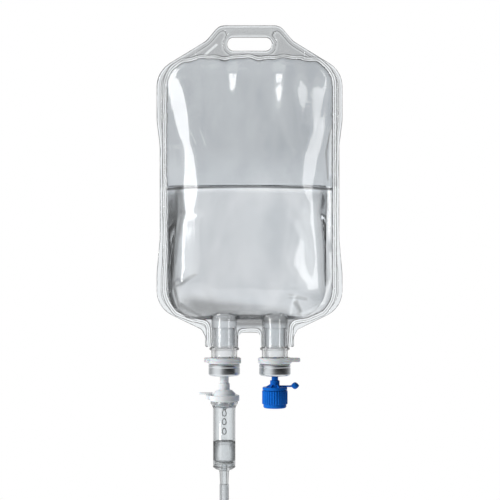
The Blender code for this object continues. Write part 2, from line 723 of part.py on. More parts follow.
def build_spike():
    """The white spike: hollow shaft, dome, flange, chamber plug and a side boss for the vent."""
    shaft = SPIKE_DIAMETER / 2
    neck = SPIKE_NECK_DIAMETER / 2
    dome = DOME_DIAMETER / 2
    flange = FLANGE_DIAMETER / 2
    bore = SPIKE_BORE / 2
    plug_bottom = FLANGE_BOTTOM - PLUG_LENGTH
    plug = CHAMBER_BORE_RADIUS - CLEARANCE
    spike = turned("spike", [
        (bore + FINE_FILLET, SPIKE_TIP, 0), (shaft, SPIKE_TIP - SPIKE_POINT, 0),
        (shaft, NECK_START, 0), (neck, NECK_START, EDGE_FILLET), (neck, DOME_TOP, 0),
        (dome - EDGE_FILLET, DOME_TOP, DOME_HEIGHT), (dome, FLANGE_TOP, 0),
        (flange, FLANGE_TOP, BROAD_FILLET), (flange, FLANGE_BOTTOM, BROAD_FILLET),
        (plug, FLANGE_BOTTOM, 0), (plug, plug_bottom, 0), (bore, plug_bottom, 0),
        (bore, SPIKE_TIP, 0),
    ], spike_white(), (-PORT_X, 0, 0), WIDE_STEPS)
    vent_x = -PORT_X - VENT_OFFSET
    vent_top = FLANGE_TOP + CLEARANCE
    boss = rod("vent_boss", VENT_DIAMETER / 2, FLANGE_BOTTOM + JOINT_DEPTH, vent_top, vent_x)
    combine(spike, boss, "UNION")
    well = rod("vent_well", VENT_BORE / 2, vent_top - VENT_HEIGHT, vent_top + JOINT_DEPTH, vent_x)
    combine(spike, well, "DIFFERENCE")

    floor = vent_top - VENT_HEIGHT + CLEARANCE
    pad = VENT_BORE / 2 - CLEARANCE
    turned("vent_filter", [
        (0, floor + VENT_FILTER_THICKNESS, 0), (pad, floor + VENT_FILTER_THICKNESS, 0),
        (pad, floor, 0), (0, floor, 0),
    ], filter_felt(), (vent_x, 0, 0), FINE_STEPS)

    lid_bottom = vent_top + CLEARANCE
    hinge = Vector((-PORT_X - FLAP_HINGE_OFFSET, 0, lid_bottom + FLAP_THICKNESS / 2))
    half = FLAP_WIDTH / 2
    reach = FLAP_REACH - FLAP_HINGE_OFFSET
    wide_end = -FLAP_WIDE_SHARE * reach
    tip_half = FLAP_END_SHARE * half
    lid_edge = rounded([
        (FLAP_THICKNESS / 2, -half, EDGE_FILLET), (FLAP_THICKNESS / 2, half, EDGE_FILLET),
        (wide_end, half, FLAP_SHOULDER), (-reach, tip_half, FLAP_SHOULDER),
        (-reach, -tip_half, FLAP_SHOULDER), (wide_end, -half, FLAP_SHOULDER),
    ])
    flap = plate("vent_flap", [lid_edge], FLAP_THICKNESS, spike_white())
    flap.location = hinge
    stud = rod("flap_stud", VENT_BORE / 2 - 2 * CLEARANCE, -FLAP_THICKNESS, 0, 0)
    stud.parent = flap
    stud.location = (vent_x - hinge.x, 0, 0)
    combine(flap, stud, "UNION")


def build_chamber():
    """The drip chamber with the drop former, its base, filter and standing fluid."""
    at = (-PORT_X, 0, 0)
    outer = CHAMBER_DIAMETER / 2
    socket = SOCKET_DIAMETER / 2
    bore = CHAMBER_BORE_RADIUS
    turned("drip_chamber", [
        (socket, BARREL_TOP, FINE_FILLET), (socket, BARREL_TOP - SOCKET_LIP, BROAD_FILLET),
        (outer, BARREL_TOP - SOCKET_LENGTH, SOCKET_FLARE_RADIUS),
        (outer, BARREL_BOTTOM, FINE_FILLET),
        (bore, BARREL_BOTTOM, 0), (bore, BARREL_TOP, 0),
    ], chamber_clear(), at, WIDE_STEPS)

    head = FORMER_HEAD_DIAMETER / 2
    tip = FORMER_DIAMETER / 2
    needle = FORMER_BORE / 2
    former_end = FORMER_TOP - FORMER_LENGTH
    turned("drop_former", [
        (SPIKE_BORE / 2 - CLEARANCE, FORMER_TOP + PLUG_LENGTH, 0),
        (SPIKE_BORE / 2 - CLEARANCE, FORMER_TOP, 0), (head, FORMER_TOP, 0),
        (head, FORMER_TOP - FORMER_HEAD, 0), (tip, former_end, 0),
        (needle, former_end, 0), (needle, FORMER_TOP + PLUG_LENGTH, 0),
    ], spike_white(), at, FINE_STEPS)

    spout = SPOUT_DIAMETER / 2
    through = SPOUT_BORE / 2
    plug = bore - CLEARANCE
    plug_top = BASE_TOP + BASE_PLUG
    turned("chamber_base", [
        (plug, plug_top, 0), (plug, BASE_TOP, 0), (outer, BASE_TOP, FINE_FILLET),
        (outer, BASE_TOP - BASE_RIM, FINE_FILLET),
        (spout + SPOUT_SHOULDER, BASE_BOTTOM, EDGE_FILLET),
        (spout, BASE_BOTTOM - SPOUT_SHOULDER, 0),
        (SPOUT_TIP_DIAMETER / 2, SPOUT_END, FINE_FILLET),
        (through, SPOUT_END, 0), (through, plug_top, 0),
    ], chamber_clear(), at)

    filter_bottom = plug_top + CLEARANCE
    filter_top = filter_bottom + FLUID_FILTER_THICKNESS
    turned("fluid_filter", [
        (0, filter_top, 0), (plug, filter_top, 0), (plug, filter_bottom, 0), (0, filter_bottom, 0),
    ], filter_felt(), at)

    pool_bottom = filter_top + CLEARANCE
    pool_top = BARREL_TOP - CHAMBER_LEVEL
    turned("chamber_fluid", [
        (0, pool_top, 0), (plug, pool_top, 0), (plug, pool_bottom, 0), (0, pool_bottom, 0),
    ], water(), at)


def build_adapter():
    """The blue adapter: bored stem, body, disc, threaded spigot and an arm with a bulb."""
    stem = STEM_DIAMETER / 2
    body = BODY_DIAMETER / 2
    disc = DISC_DIAMETER / 2
    spigot = SPIGOT_DIAMETER / 2
    bore = ADAPTER_BORE / 2
    adapter = turned("adapter", [
        (bore + FINE_FILLET, SPIKE_TIP, 0), (stem, SPIKE_TIP - SPIKE_POINT, 0),
        (stem, STEM_END, 0), (body, STEM_END, EDGE_FILLET), (body, DISC_TOP, 0),
        (disc, DISC_TOP, FINE_FILLET), (disc, DISC_BOTTOM, FINE_FILLET),
        (spigot, DISC_BOTTOM, 0), (spigot, SPIGOT_END, EDGE_FILLET),
        (bore, SPIGOT_END, 0), (bore, SPIKE_TIP, 0),
    ], adapter_blue(), (PORT_X, 0, 0), WIDE_STEPS)
    arm_z = DISC_TOP + ARM_THICKNESS / 2
    arm = box("adapter_arm", (PORT_X + body - JOINT_DEPTH, -ARM_WIDTH / 2, arm_z - ARM_THICKNESS / 2),
              (PORT_X + BULB_OFFSET - JOINT_DEPTH, ARM_WIDTH / 2, arm_z + ARM_THICKNESS / 2),
              None, CUTTERS)
    combine(adapter, arm, "UNION")
    work = bmesh.new()
    bmesh.ops.create_uvsphere(work, u_segments=12, v_segments=8, radius=1)
    bmesh.ops.scale(work, vec=(BULB_LENGTH / 2, BULB_HEIGHT / 2, BULB_HEIGHT / 2),
                    verts=work.verts)
    bulb = add_object("adapter_bulb", mesh_from(work, "adapter_bulb"), None, CUTTERS)
    bulb.location = (PORT_X + BULB_OFFSET, 0, arm_z + ARM_THICKNESS / 3)
    combine(adapter, bulb, "UNION")


def build_screw_cap():
    """The ribbed cap: a skirt with a rib pattern on a turned foot, and a liner at its bottom."""
    bore = SPIGOT_DIAMETER / 2 + RUNNING_GAP
    liner_top = SPIGOT_END - CLEARANCE
    liner_bottom = liner_top - LINER_THICKNESS
    floor = liner_bottom - CLEARANCE
    foot = CAP_FOOT_DIAMETER / 2
    cap = turned("screw_cap", [
        (0, CAP_STEP + JOINT_DEPTH, 0), (foot, CAP_STEP + JOINT_DEPTH, 0),
        (foot, CAP_BOTTOM, BROAD_FILLET), (0, CAP_BOTTOM, 0),
    ], adapter_blue(), (PORT_X, 0, 0), WIDE_STEPS)
    edge = ribbed_outline(CAP_DIAMETER / 2, CAP_RIB_HEIGHT, CAP_RIBS)
    skirt = plate("cap_skirt", [edge], CAP_SKIRT, None, CUTTERS)
    skirt.location = (PORT_X, 0, CAP_TOP - CAP_SKIRT / 2)
    combine(cap, skirt, "UNION")
    well = rod("cap_well", bore, floor, CAP_TOP + JOINT_DEPTH, PORT_X)
    combine(cap, well, "DIFFERENCE")

    pad = bore - CLEARANCE
    turned("cap_liner", [
        (0, liner_top, 0), (pad, liner_top, 0), (pad, liner_bottom, 0), (0, liner_bottom, 0),
    ], filter_felt(), (PORT_X, 0, 0))


def tube_route():
    """The free tube's way: straight down, a slow sweep aside, then along the coil's front."""
    points = []
    drop = TUBE_TOP - SWEEP_TOP
    drops = math.ceil(drop / (3 * TUBE_DIAMETER))
    for index in range(drops):
        points.append((-PORT_X, TUBE_TOP - drop * index / drops))
    turn = 2 * math.atan2(COIL_RADIUS, SWEEP_HEIGHT)
    radius = SWEEP_HEIGHT / (2 * math.sin(turn))
    steps = 4
    for index in range(steps):
        angle = turn * index / steps
        points.append((-PORT_X + radius * (1 - math.cos(angle)),
                       SWEEP_TOP - radius * math.sin(angle)))
    for index in range(steps + 1):
        angle = turn * (1 - index / steps)
        points.append((-PORT_X + COIL_RADIUS - radius * (1 - math.cos(angle)),
                       COIL_CENTRE + radius * math.sin(angle)))
    for index in range(1, 3):
        angle = -COIL_LANDING * index / 2
        points.append((-PORT_X + COIL_RADIUS * math.cos(angle),
                       COIL_CENTRE + COIL_RADIUS * math.sin(angle)))
    return points


def build_tube():
    """The infusion tube down to its coil, and the coil's outer shape."""
    route = tube_route()
    curve = bpy.data.curves.new("infusion_tube", "CURVE")
    curve.dimensions = "3D"
    curve.bevel_depth = TUBE_DIAMETER / 2
    curve.bevel_resolution = TUBE_SIDES
    curve.use_fill_caps = True
    spline = curve.splines.new("POLY")
    spline.points.add(len(route) - 1)
    for point, (x, z) in zip(spline.points, route):
        point.co = (x, 0, z, 1)
    add_object("infusion_tube", curve, tube_clear())

    inner = COIL_RADIUS - COIL_HALF_BAND
    outer = COIL_RADIUS + COIL_HALF_BAND
    corner = TUBE_DIAMETER / 2
    coil = turned("tube_coil", [
        (outer, COIL_HALF_DEPTH, corner), (outer, -COIL_HALF_DEPTH, corner),
        (inner, -COIL_HALF_DEPTH, corner), (inner, COIL_HALF_DEPTH, corner),
    ], tube_clear(), (-PORT_X, COIL_Y, COIL_CENTRE), WIDE_STEPS)
    coil.rotation_euler = (math.pi / 2, 0, 0)


def build_tie(name, angle, front):
    """A flat band round the coil's section at an angle, closed in front of what it holds."""
    low = COIL_RADIUS - COIL_HALF_BAND - CLEARANCE
    high = COIL_RADIUS + COIL_HALF_BAND + CLEARANCE
    back = COIL_Y + COIL_HALF_DEPTH + CLEARANCE
    loops = []
    for grow in (TIE_THICKNESS, 0):
        loops.append(rounded([
            (high + grow, front - grow, TIE_RADIUS + grow),
            (high + grow, back + grow, TIE_RADIUS + grow),
            (low - grow, back + grow, TIE_RADIUS + grow),
            (low - grow, front - grow, TIE_RADIUS + grow),
        ]))
    tie = plate(name, loops, TIE_WIDTH, tie_white())
    tie.rotation_euler = (0, -angle, 0)
    tie.location = (-PORT_X, 0, COIL_CENTRE)


def build_clamp():
    """The roller clamp: a channel round the tube, with slots that guide the wheel's pins."""
    side = CLAMP_CHANNEL + CLAMP_WALL
    front = WHEEL_Y - PIN_DIAMETER / 2 - CLAMP_WALL
    middle = Vector((-PORT_X, 0, (CLAMP_TOP + CLAMP_BOTTOM) / 2))
    half = CLAMP_LENGTH / 2
    housing = box("clamp_housing", (-side, front, -half), (side, side, half), spike_white())
    housing.location = middle
    edge = housing.modifiers.new("edges", "BEVEL")
    edge.width = BROAD_FILLET
    edge.segments = 2
    cuts = []
    cuts.append(box("tube_channel", (-CLAMP_CHANNEL, -CLAMP_CHANNEL, -half - JOINT_DEPTH),
                    (CLAMP_CHANNEL, CLAMP_CHANNEL, half + JOINT_DEPTH), None, CUTTERS))
    cuts.append(box("wheel_channel", (-CLAMP_CHANNEL, front - JOINT_DEPTH, CLAMP_BRIDGE - half),
                    (CLAMP_CHANNEL, 0, half - CLAMP_BRIDGE), None, CUTTERS))
    slot = PIN_DIAMETER / 2 + RUNNING_GAP
    wheel_top = WHEEL_TRAVEL / 2
    cuts.append(box("pin_slots", (-side - JOINT_DEPTH, WHEEL_Y - slot, -wheel_top - slot),
                    (side + JOINT_DEPTH, WHEEL_Y + slot, wheel_top + slot), None, CUTTERS))
    for cut in cuts:
        cut.parent = housing
        combine(housing, cut, "DIFFERENCE")

    width = 2 * (CLAMP_CHANNEL - RUNNING_GAP)
    edge_line = ribbed_outline(WHEEL_DIAMETER / 2, WHEEL_TOOTH, WHEEL_TEETH)
    wheel = plate("clamp_wheel", [edge_line], width, spike_white())
    wheel.location = middle + Vector((0, WHEEL_Y, wheel_top))
    wheel.rotation_euler = (0, math.pi / 2, 0)
    pin_half = CLAMP_CHANNEL + PIN_GRIP
    pin = rod("wheel_pin", PIN_DIAMETER / 2, -pin_half, pin_half, 0)
    pin.parent = wheel
    combine(wheel, pin, "UNION")


def build_luer():
    """The luer connector beside the coil, pointing up as the last turn does, with its cap on."""
    bottom = COIL_CENTRE - LUER_SOCKET_LENGTH / 2
    grip_bottom = bottom + LUER_SOCKET_LENGTH
    grip_top = grip_bottom + LUER_GRIP_LENGTH
    tip = grip_top + LUER_TIP_LENGTH
    bore = LUER_BORE / 2
    socket = LUER_SOCKET_DIAMETER / 2
    grip = LUER_GRIP_DIAMETER / 2
    nose = LUER_TIP_DIAMETER / 2
    nose_root = nose + LUER_TAPER
    at = (LUER_X, LUER_Y, 0)
    turned("luer_connector", [
        (nose, tip, 0), (nose_root, grip_top, 0), (grip, grip_top, EDGE_FILLET),
        (grip, grip_bottom + JOINT_DEPTH, EDGE_FILLET), (socket, grip_bottom, 0),
        (socket, bottom, EDGE_FILLET), (bore, bottom, 0), (bore, tip, 0),
    ], spike_white(), at, FINE_STEPS)

    inner = nose_root + RUNNING_GAP
    outer = LUER_CAP_DIAMETER / 2
    rim = grip_top + CLEARANCE
    end = rim + LUER_CAP_LENGTH
    turned("luer_cap", [
        (0, end, 0), (outer - LUER_CAP_DRAFT, end, BROAD_FILLET), (outer, rim, EDGE_FILLET),
        (inner, rim, 0), (inner, end - LUER_CAP_WALL, 0), (0, end - LUER_CAP_WALL, 0),
    ], adapter_blue(), at, FINE_STEPS)


def main():
    """Clear the scene and build every piece."""
    for leftover in list(bpy.data.objects):
        bpy.data.objects.remove(leftover)
    build_films()
    build_fluid()
    build_port("left", -PORT_X, LEFT_TAB_REACH, LEFT_TAB_WIDTH, SPIKE_DIAMETER)
    build_port("right", PORT_X, RIGHT_TAB_REACH, RIGHT_TAB_WIDTH, STEM_DIAMETER)
    build_spike()
    build_chamber()
    build_adapter()
    build_screw_cap()
    build_tube()
    build_tie("tube_tie_upper", UPPER_TIE_ANGLE, -TUBE_DIAMETER / 2 - CLEARANCE)
    build_tie("tube_tie_side", math.pi, LUER_Y - LUER_SOCKET_DIAMETER / 2 - CLEARANCE)
    build_clamp()
    build_luer()


main()
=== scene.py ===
"""Looks of the hung fluid bag: film, fluid, ports, giving set and tube, in metres, front at -Y."""

import json
import logging
import math
from collections.abc import Callable, Iterable, Sequence
from dataclasses import dataclass, field
from enum import Enum

import bmesh
import bpy
from mathutils import Matrix, Vector
from mathutils.kdtree import KDTree

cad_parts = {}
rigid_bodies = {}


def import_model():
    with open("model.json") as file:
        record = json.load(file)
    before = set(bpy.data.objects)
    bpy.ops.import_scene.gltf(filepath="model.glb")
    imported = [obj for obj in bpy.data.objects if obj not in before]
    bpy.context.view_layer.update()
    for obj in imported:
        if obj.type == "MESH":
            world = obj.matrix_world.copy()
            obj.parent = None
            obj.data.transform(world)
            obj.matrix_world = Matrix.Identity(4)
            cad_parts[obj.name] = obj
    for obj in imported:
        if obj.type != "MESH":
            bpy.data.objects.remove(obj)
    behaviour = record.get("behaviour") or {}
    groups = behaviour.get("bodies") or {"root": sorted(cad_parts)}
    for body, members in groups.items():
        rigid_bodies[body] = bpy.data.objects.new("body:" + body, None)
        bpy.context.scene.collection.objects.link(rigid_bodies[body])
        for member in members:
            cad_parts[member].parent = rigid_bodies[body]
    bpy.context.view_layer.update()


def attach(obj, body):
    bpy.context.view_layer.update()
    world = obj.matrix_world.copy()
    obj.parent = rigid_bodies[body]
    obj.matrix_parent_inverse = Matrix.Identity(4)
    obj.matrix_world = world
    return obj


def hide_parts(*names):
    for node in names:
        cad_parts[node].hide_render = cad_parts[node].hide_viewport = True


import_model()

log = logging.getLogger("fluid_bag")

Corner = tuple[float, float, float]
Colour = tuple[float, float, float]
Point = tuple[float, float, float]
Table = tuple[tuple[float, ...], ...]
Node = bpy.types.Node
Shape = bmesh.types.BMesh
Socket = bpy.types.NodeSocket

BLACK = (0.0, 0.0, 0.0)
WHITE_LIGHT = (1.0, 1.0, 1.0)
PORT_X = 0.01695
FILM_WALL = 0.0004
FLUID_LEVEL = -0.1004
TUBE_DIAMETER = 0.0062
UPRIGHT = Matrix.Rotation(math.pi / 2, 4, "X")
WELD_SPAN = 0.008
HEIGHT_SPAN = 0.2
BUMP_SCUFFS = 0.00001
MERGE = 0.000002  # points nearer than this become one
SLIVER = 0.000001  # the least length or depth that counts


class Side(Enum):
    """The two ports, by the sign of their place across the bag."""

    LEFT = -1
    RIGHT = 1


class Sheet(Enum):
    """The two films, by the side of the middle plane that they bulge to."""

    FRONT = -1
    BACK = 1


# ---------------------------------------------------------------- shading


class Bench:
    """Adds and links shader nodes in one tree."""

    def __init__(self, tree: bpy.types.NodeTree) -> None:
        """Start on a tree.

        Args:
            tree: the node tree that the nodes go into.
        """
        self.tree = tree

    def add(self, kind: str, **settings: object) -> Node:
        """Add a node and set its plain properties.

        Args:
            kind: the node's class name.
            settings: property names and values.

        Returns:
            The new node.
        """
        node = self.tree.nodes.new(kind)
        for key, value in settings.items():
            setattr(node, key, value)
        return node

    def feed(self, value: object, socket: Socket) -> None:
        """Link an output to an input, or set the input.

        Args:
            value: an output socket, or a number or tuple.
            socket: the input that takes it.
        """
        if isinstance(value, Socket):
            self.tree.links.new(value, socket)
        else:
            socket.default_value = value

    def math(self, operation: str, *values: object) -> Socket:
        """A Math node.

        Args:
            operation: the node's operation.
            values: one to three inputs, sockets or numbers.

        Returns:
            The result.
        """
        node = self.add("ShaderNodeMath", operation=operation)
        for socket, value in zip(node.inputs, values):
            self.feed(value, socket)
        return node.outputs[0]

    def ramp(self, value: object, stops: Iterable[tuple[float, float]],
             smooth: str = "LINEAR") -> Socket:
        """A colour ramp of greys.

        Args:
            value: the factor.
            stops: places from 0 to 1 with their grey levels.
            smooth: the ramp's interpolation.

        Returns:
            The colour.
        """
        node = self.add("ShaderNodeValToRGB")
        node.color_ramp.interpolation = smooth
        points = node.color_ramp.elements
        while len(points) < len(stops):
            points.new(0.5)
        for point, (place, level) in zip(points, stops):
            point.position = place
            point.color = (level, level, level, 1)
        self.feed(value, node.inputs[0])
        return node.outputs[0]

    def mix(self, share: object, first: object, second: object, blend: str = "MIX") -> Socket:
        """Mix two colours.

        Args:
            share: how much of the second.
            first: a colour socket or tuple.
            second: a colour socket or tuple.
            blend: how the second goes over the first.

        Returns:
            The mixed colour.
        """
        node = self.add("ShaderNodeMix", data_type="RGBA", blend_type=blend)
        self.feed(share, node.inputs[0])
        for value, socket in ((first, node.inputs[6]), (second, node.inputs[7])):
            self.feed((*value, 1) if isinstance(value, tuple) else value, socket)
        return node.outputs[2]

    def split(self, vector: Socket) -> Sequence[Socket]:
        """The parts of a vector.

        Args:
            vector: the vector.

        Returns:
            Its X, Y and Z.
        """
        node = self.add("ShaderNodeSeparateXYZ")
        self.feed(vector, node.inputs[0])
        return node.outputs

    def noise(self, stretch: Point, turn: Point = (0, 0, 0), scale: object = 1.0,
              detail: float = 2.0, distortion: float = 0.0) -> Socket:
        """A noise texture on object coordinates.

        Args:
            stretch: the pattern's frequency on each axis.
            turn: its rotation.
            scale: its frequency on all axes.
            detail: how many octaves it has.
            distortion: how much it is warped.

        Returns:
            The grey value.
        """
        mapping = self.add("ShaderNodeMapping")
        mapping.inputs["Scale"].default_value = stretch
        mapping.inputs["Rotation"].default_value = turn
        self.feed(self.add("ShaderNodeTexCoord").outputs["Object"], mapping.inputs["Vector"])
        node = self.add("ShaderNodeTexNoise")
        for label, value in (("Detail", detail), ("Distortion", distortion), ("Scale", scale),
                             ("Vector", mapping.outputs[0])):
            self.feed(value, node.inputs[label])
        return node.outputs[0]


class Effect(Enum):
    """A shared effect, by the name of its node group: a moulded skin, or hairline scuffs."""

    SKIN = "moulded_skin"
    MARKS = "handling_marks"

    def use(self, bench: Bench, **values: float) -> Node:
        """Place the effect in a material; its group is built on first use.

        Args:
            bench: the material's bench.
            values: the group's input values.

        Returns:
            The group node, with outputs Height and Mask.
        """
        group = bpy.data.node_groups.get(self.value) or self.build(values)
        node = bench.add("ShaderNodeGroup", node_tree=group)
        for label, value in values.items():
            node.inputs[label].default_value = value
        return node

    def build(self, inputs: Iterable[str]) -> bpy.types.NodeTree:
        """Make the effect's group.

        Args:
            inputs: the names of its inputs.

        Returns:
            The group.
        """
        group = bpy.data.node_groups.new(self.value, "ShaderNodeTree")
        for label, way in [(label, "INPUT") for label in inputs] + [("Height", "OUTPUT"),
                                                                    ("Mask", "OUTPUT")]:
            group.interface.new_socket(label, in_out=way, socket_type="NodeSocketFloat")
        bench = Bench(group)
        inlet, outlet = bench.add("NodeGroupInput").outputs, bench.add("NodeGroupOutput").inputs
        if self is Effect.SKIN:
            grain = bench.noise((1, 1, 1), scale=inlet["Grain"])
            flow = bench.noise((1, 1, 0.35), scale=inlet["Flow"], distortion=0.4)
            height = bench.math("MULTIPLY_ADD", grain, 0.35, flow)
            mask = bench.ramp(flow, ((0.25, 0.0), (0.75, 1.0)), "EASE")
        else:
            hairs = [bench.ramp(bench.noise((1600, 1600, 26), turn, detail=1.0),
                                ((0.62, 0.0), (0.7, 1.0)), "EASE")
                     for turn in ((0, 0.35, 0), (0, -0.9, 0.5))]
            patch = bench.ramp(bench.noise((60, 60, 60)), ((0.45, 0.0), (0.7, 1.0)), "EASE")
            kept = bench.math("MULTIPLY", bench.math("MAXIMUM", *hairs), patch)
            mask = bench.math("MULTIPLY", kept, inlet["Amount"])
            height = bench.math("MULTIPLY", mask, -1.0)
        bench.feed(height, outlet["Height"])
        bench.feed(mask, outlet["Mask"])
        return group


@dataclass(frozen=True)
class Finish:
    """A plain plastic, rubber or felt: one colour that varies a little, with skin and marks."""

    name: str
    colour: Colour
    second: Colour
    roughness: float = 0.35
    spread: float = 0.08
    metallic: float = 0.0
    transmission: float = 0.0
    ior: float = 1.46
    subsurface: float = 0.0
    grain: float = 900.0
    flow: float = 90.0
    relief: float = 0.00002
    marks: float = 0.3
    # Painted shade: grey levels by Layer Weight facing that darken the colour towards the
    # silhouette, in place of the dark edges that refraction gives.
    rim: Table = ()

    def material(self) -> bpy.types.Material:
        """The finish's material, made on first use.

        Returns:
            The material.
        """
        made = bpy.data.materials.get(self.name)
        if made:
            return made
        made = bpy.data.materials.new(self.name)
        made.use_nodes = True
        made.diffuse_color = (*self.colour, 1)
        shader = made.node_tree.nodes["Principled BSDF"]
        for label, value in (
            ("Metallic", self.metallic), ("Transmission Weight", self.transmission),
            ("IOR", self.ior), ("Subsurface Weight", self.subsurface),
            ("Subsurface Scale", 0.003), ("Roughness", self.roughness),
        ):
            shader.inputs[label].default_value = value
        self.paint(Bench(made.node_tree), shader)
        return made

    def paint(self, bench: Bench, shader: Node) -> None:
        """Feed the shader with the finish's pattern.

        Args:
            bench: the material's bench.
            shader: its Principled shader.
        """
        skin = Effect.SKIN.use(bench, Grain=self.grain, Flow=self.flow).outputs
        marks = Effect.MARKS.use(bench, Amount=self.marks).outputs
        colour = bench.mix(skin["Mask"], self.colour, self.second)
        # Painted shade: the colour darkens towards the silhouette, where the surface turns away.
        if self.rim:
            facing = bench.add("ShaderNodeLayerWeight").outputs["Facing"]
            colour = bench.mix(bench.ramp(facing, self.rim), BLACK, colour)
        height = bench.math("ADD", skin["Height"], marks["Height"])
        self.cover(bench, shader, colour, skin["Mask"], marks["Mask"], 0.15, height, self.relief)

    def cover(self, bench: Bench, shader: Node, colour: Socket, uneven: Socket, scuffed: Socket,
              scuffing: float, height: Socket, relief: float) -> None:
        """Feed the shader's colour, roughness and normal.

        Args:
            bench: the material's bench.
            shader: its Principled shader.
            colour: the base colour.
            uneven: where it is rougher.
            scuffed: where it is scuffed.
            scuffing: how much rougher a scuff is.
            height: the height that the normal follows.
            relief: how far a height of 1 stands out.
        """
        rough = bench.math("MULTIPLY_ADD", uneven, self.spread, self.roughness)
        bench.feed(bench.math("MULTIPLY_ADD", scuffed, scuffing, rough),
                   shader.inputs["Roughness"])
        bump = bench.add("ShaderNodeBump")
        bump.inputs["Distance"].default_value = relief
        bench.feed(height, bump.inputs["Height"])
        bench.feed(colour, shader.inputs["Base Color"])
        bench.feed(bump.outputs[0], shader.inputs["Normal"])


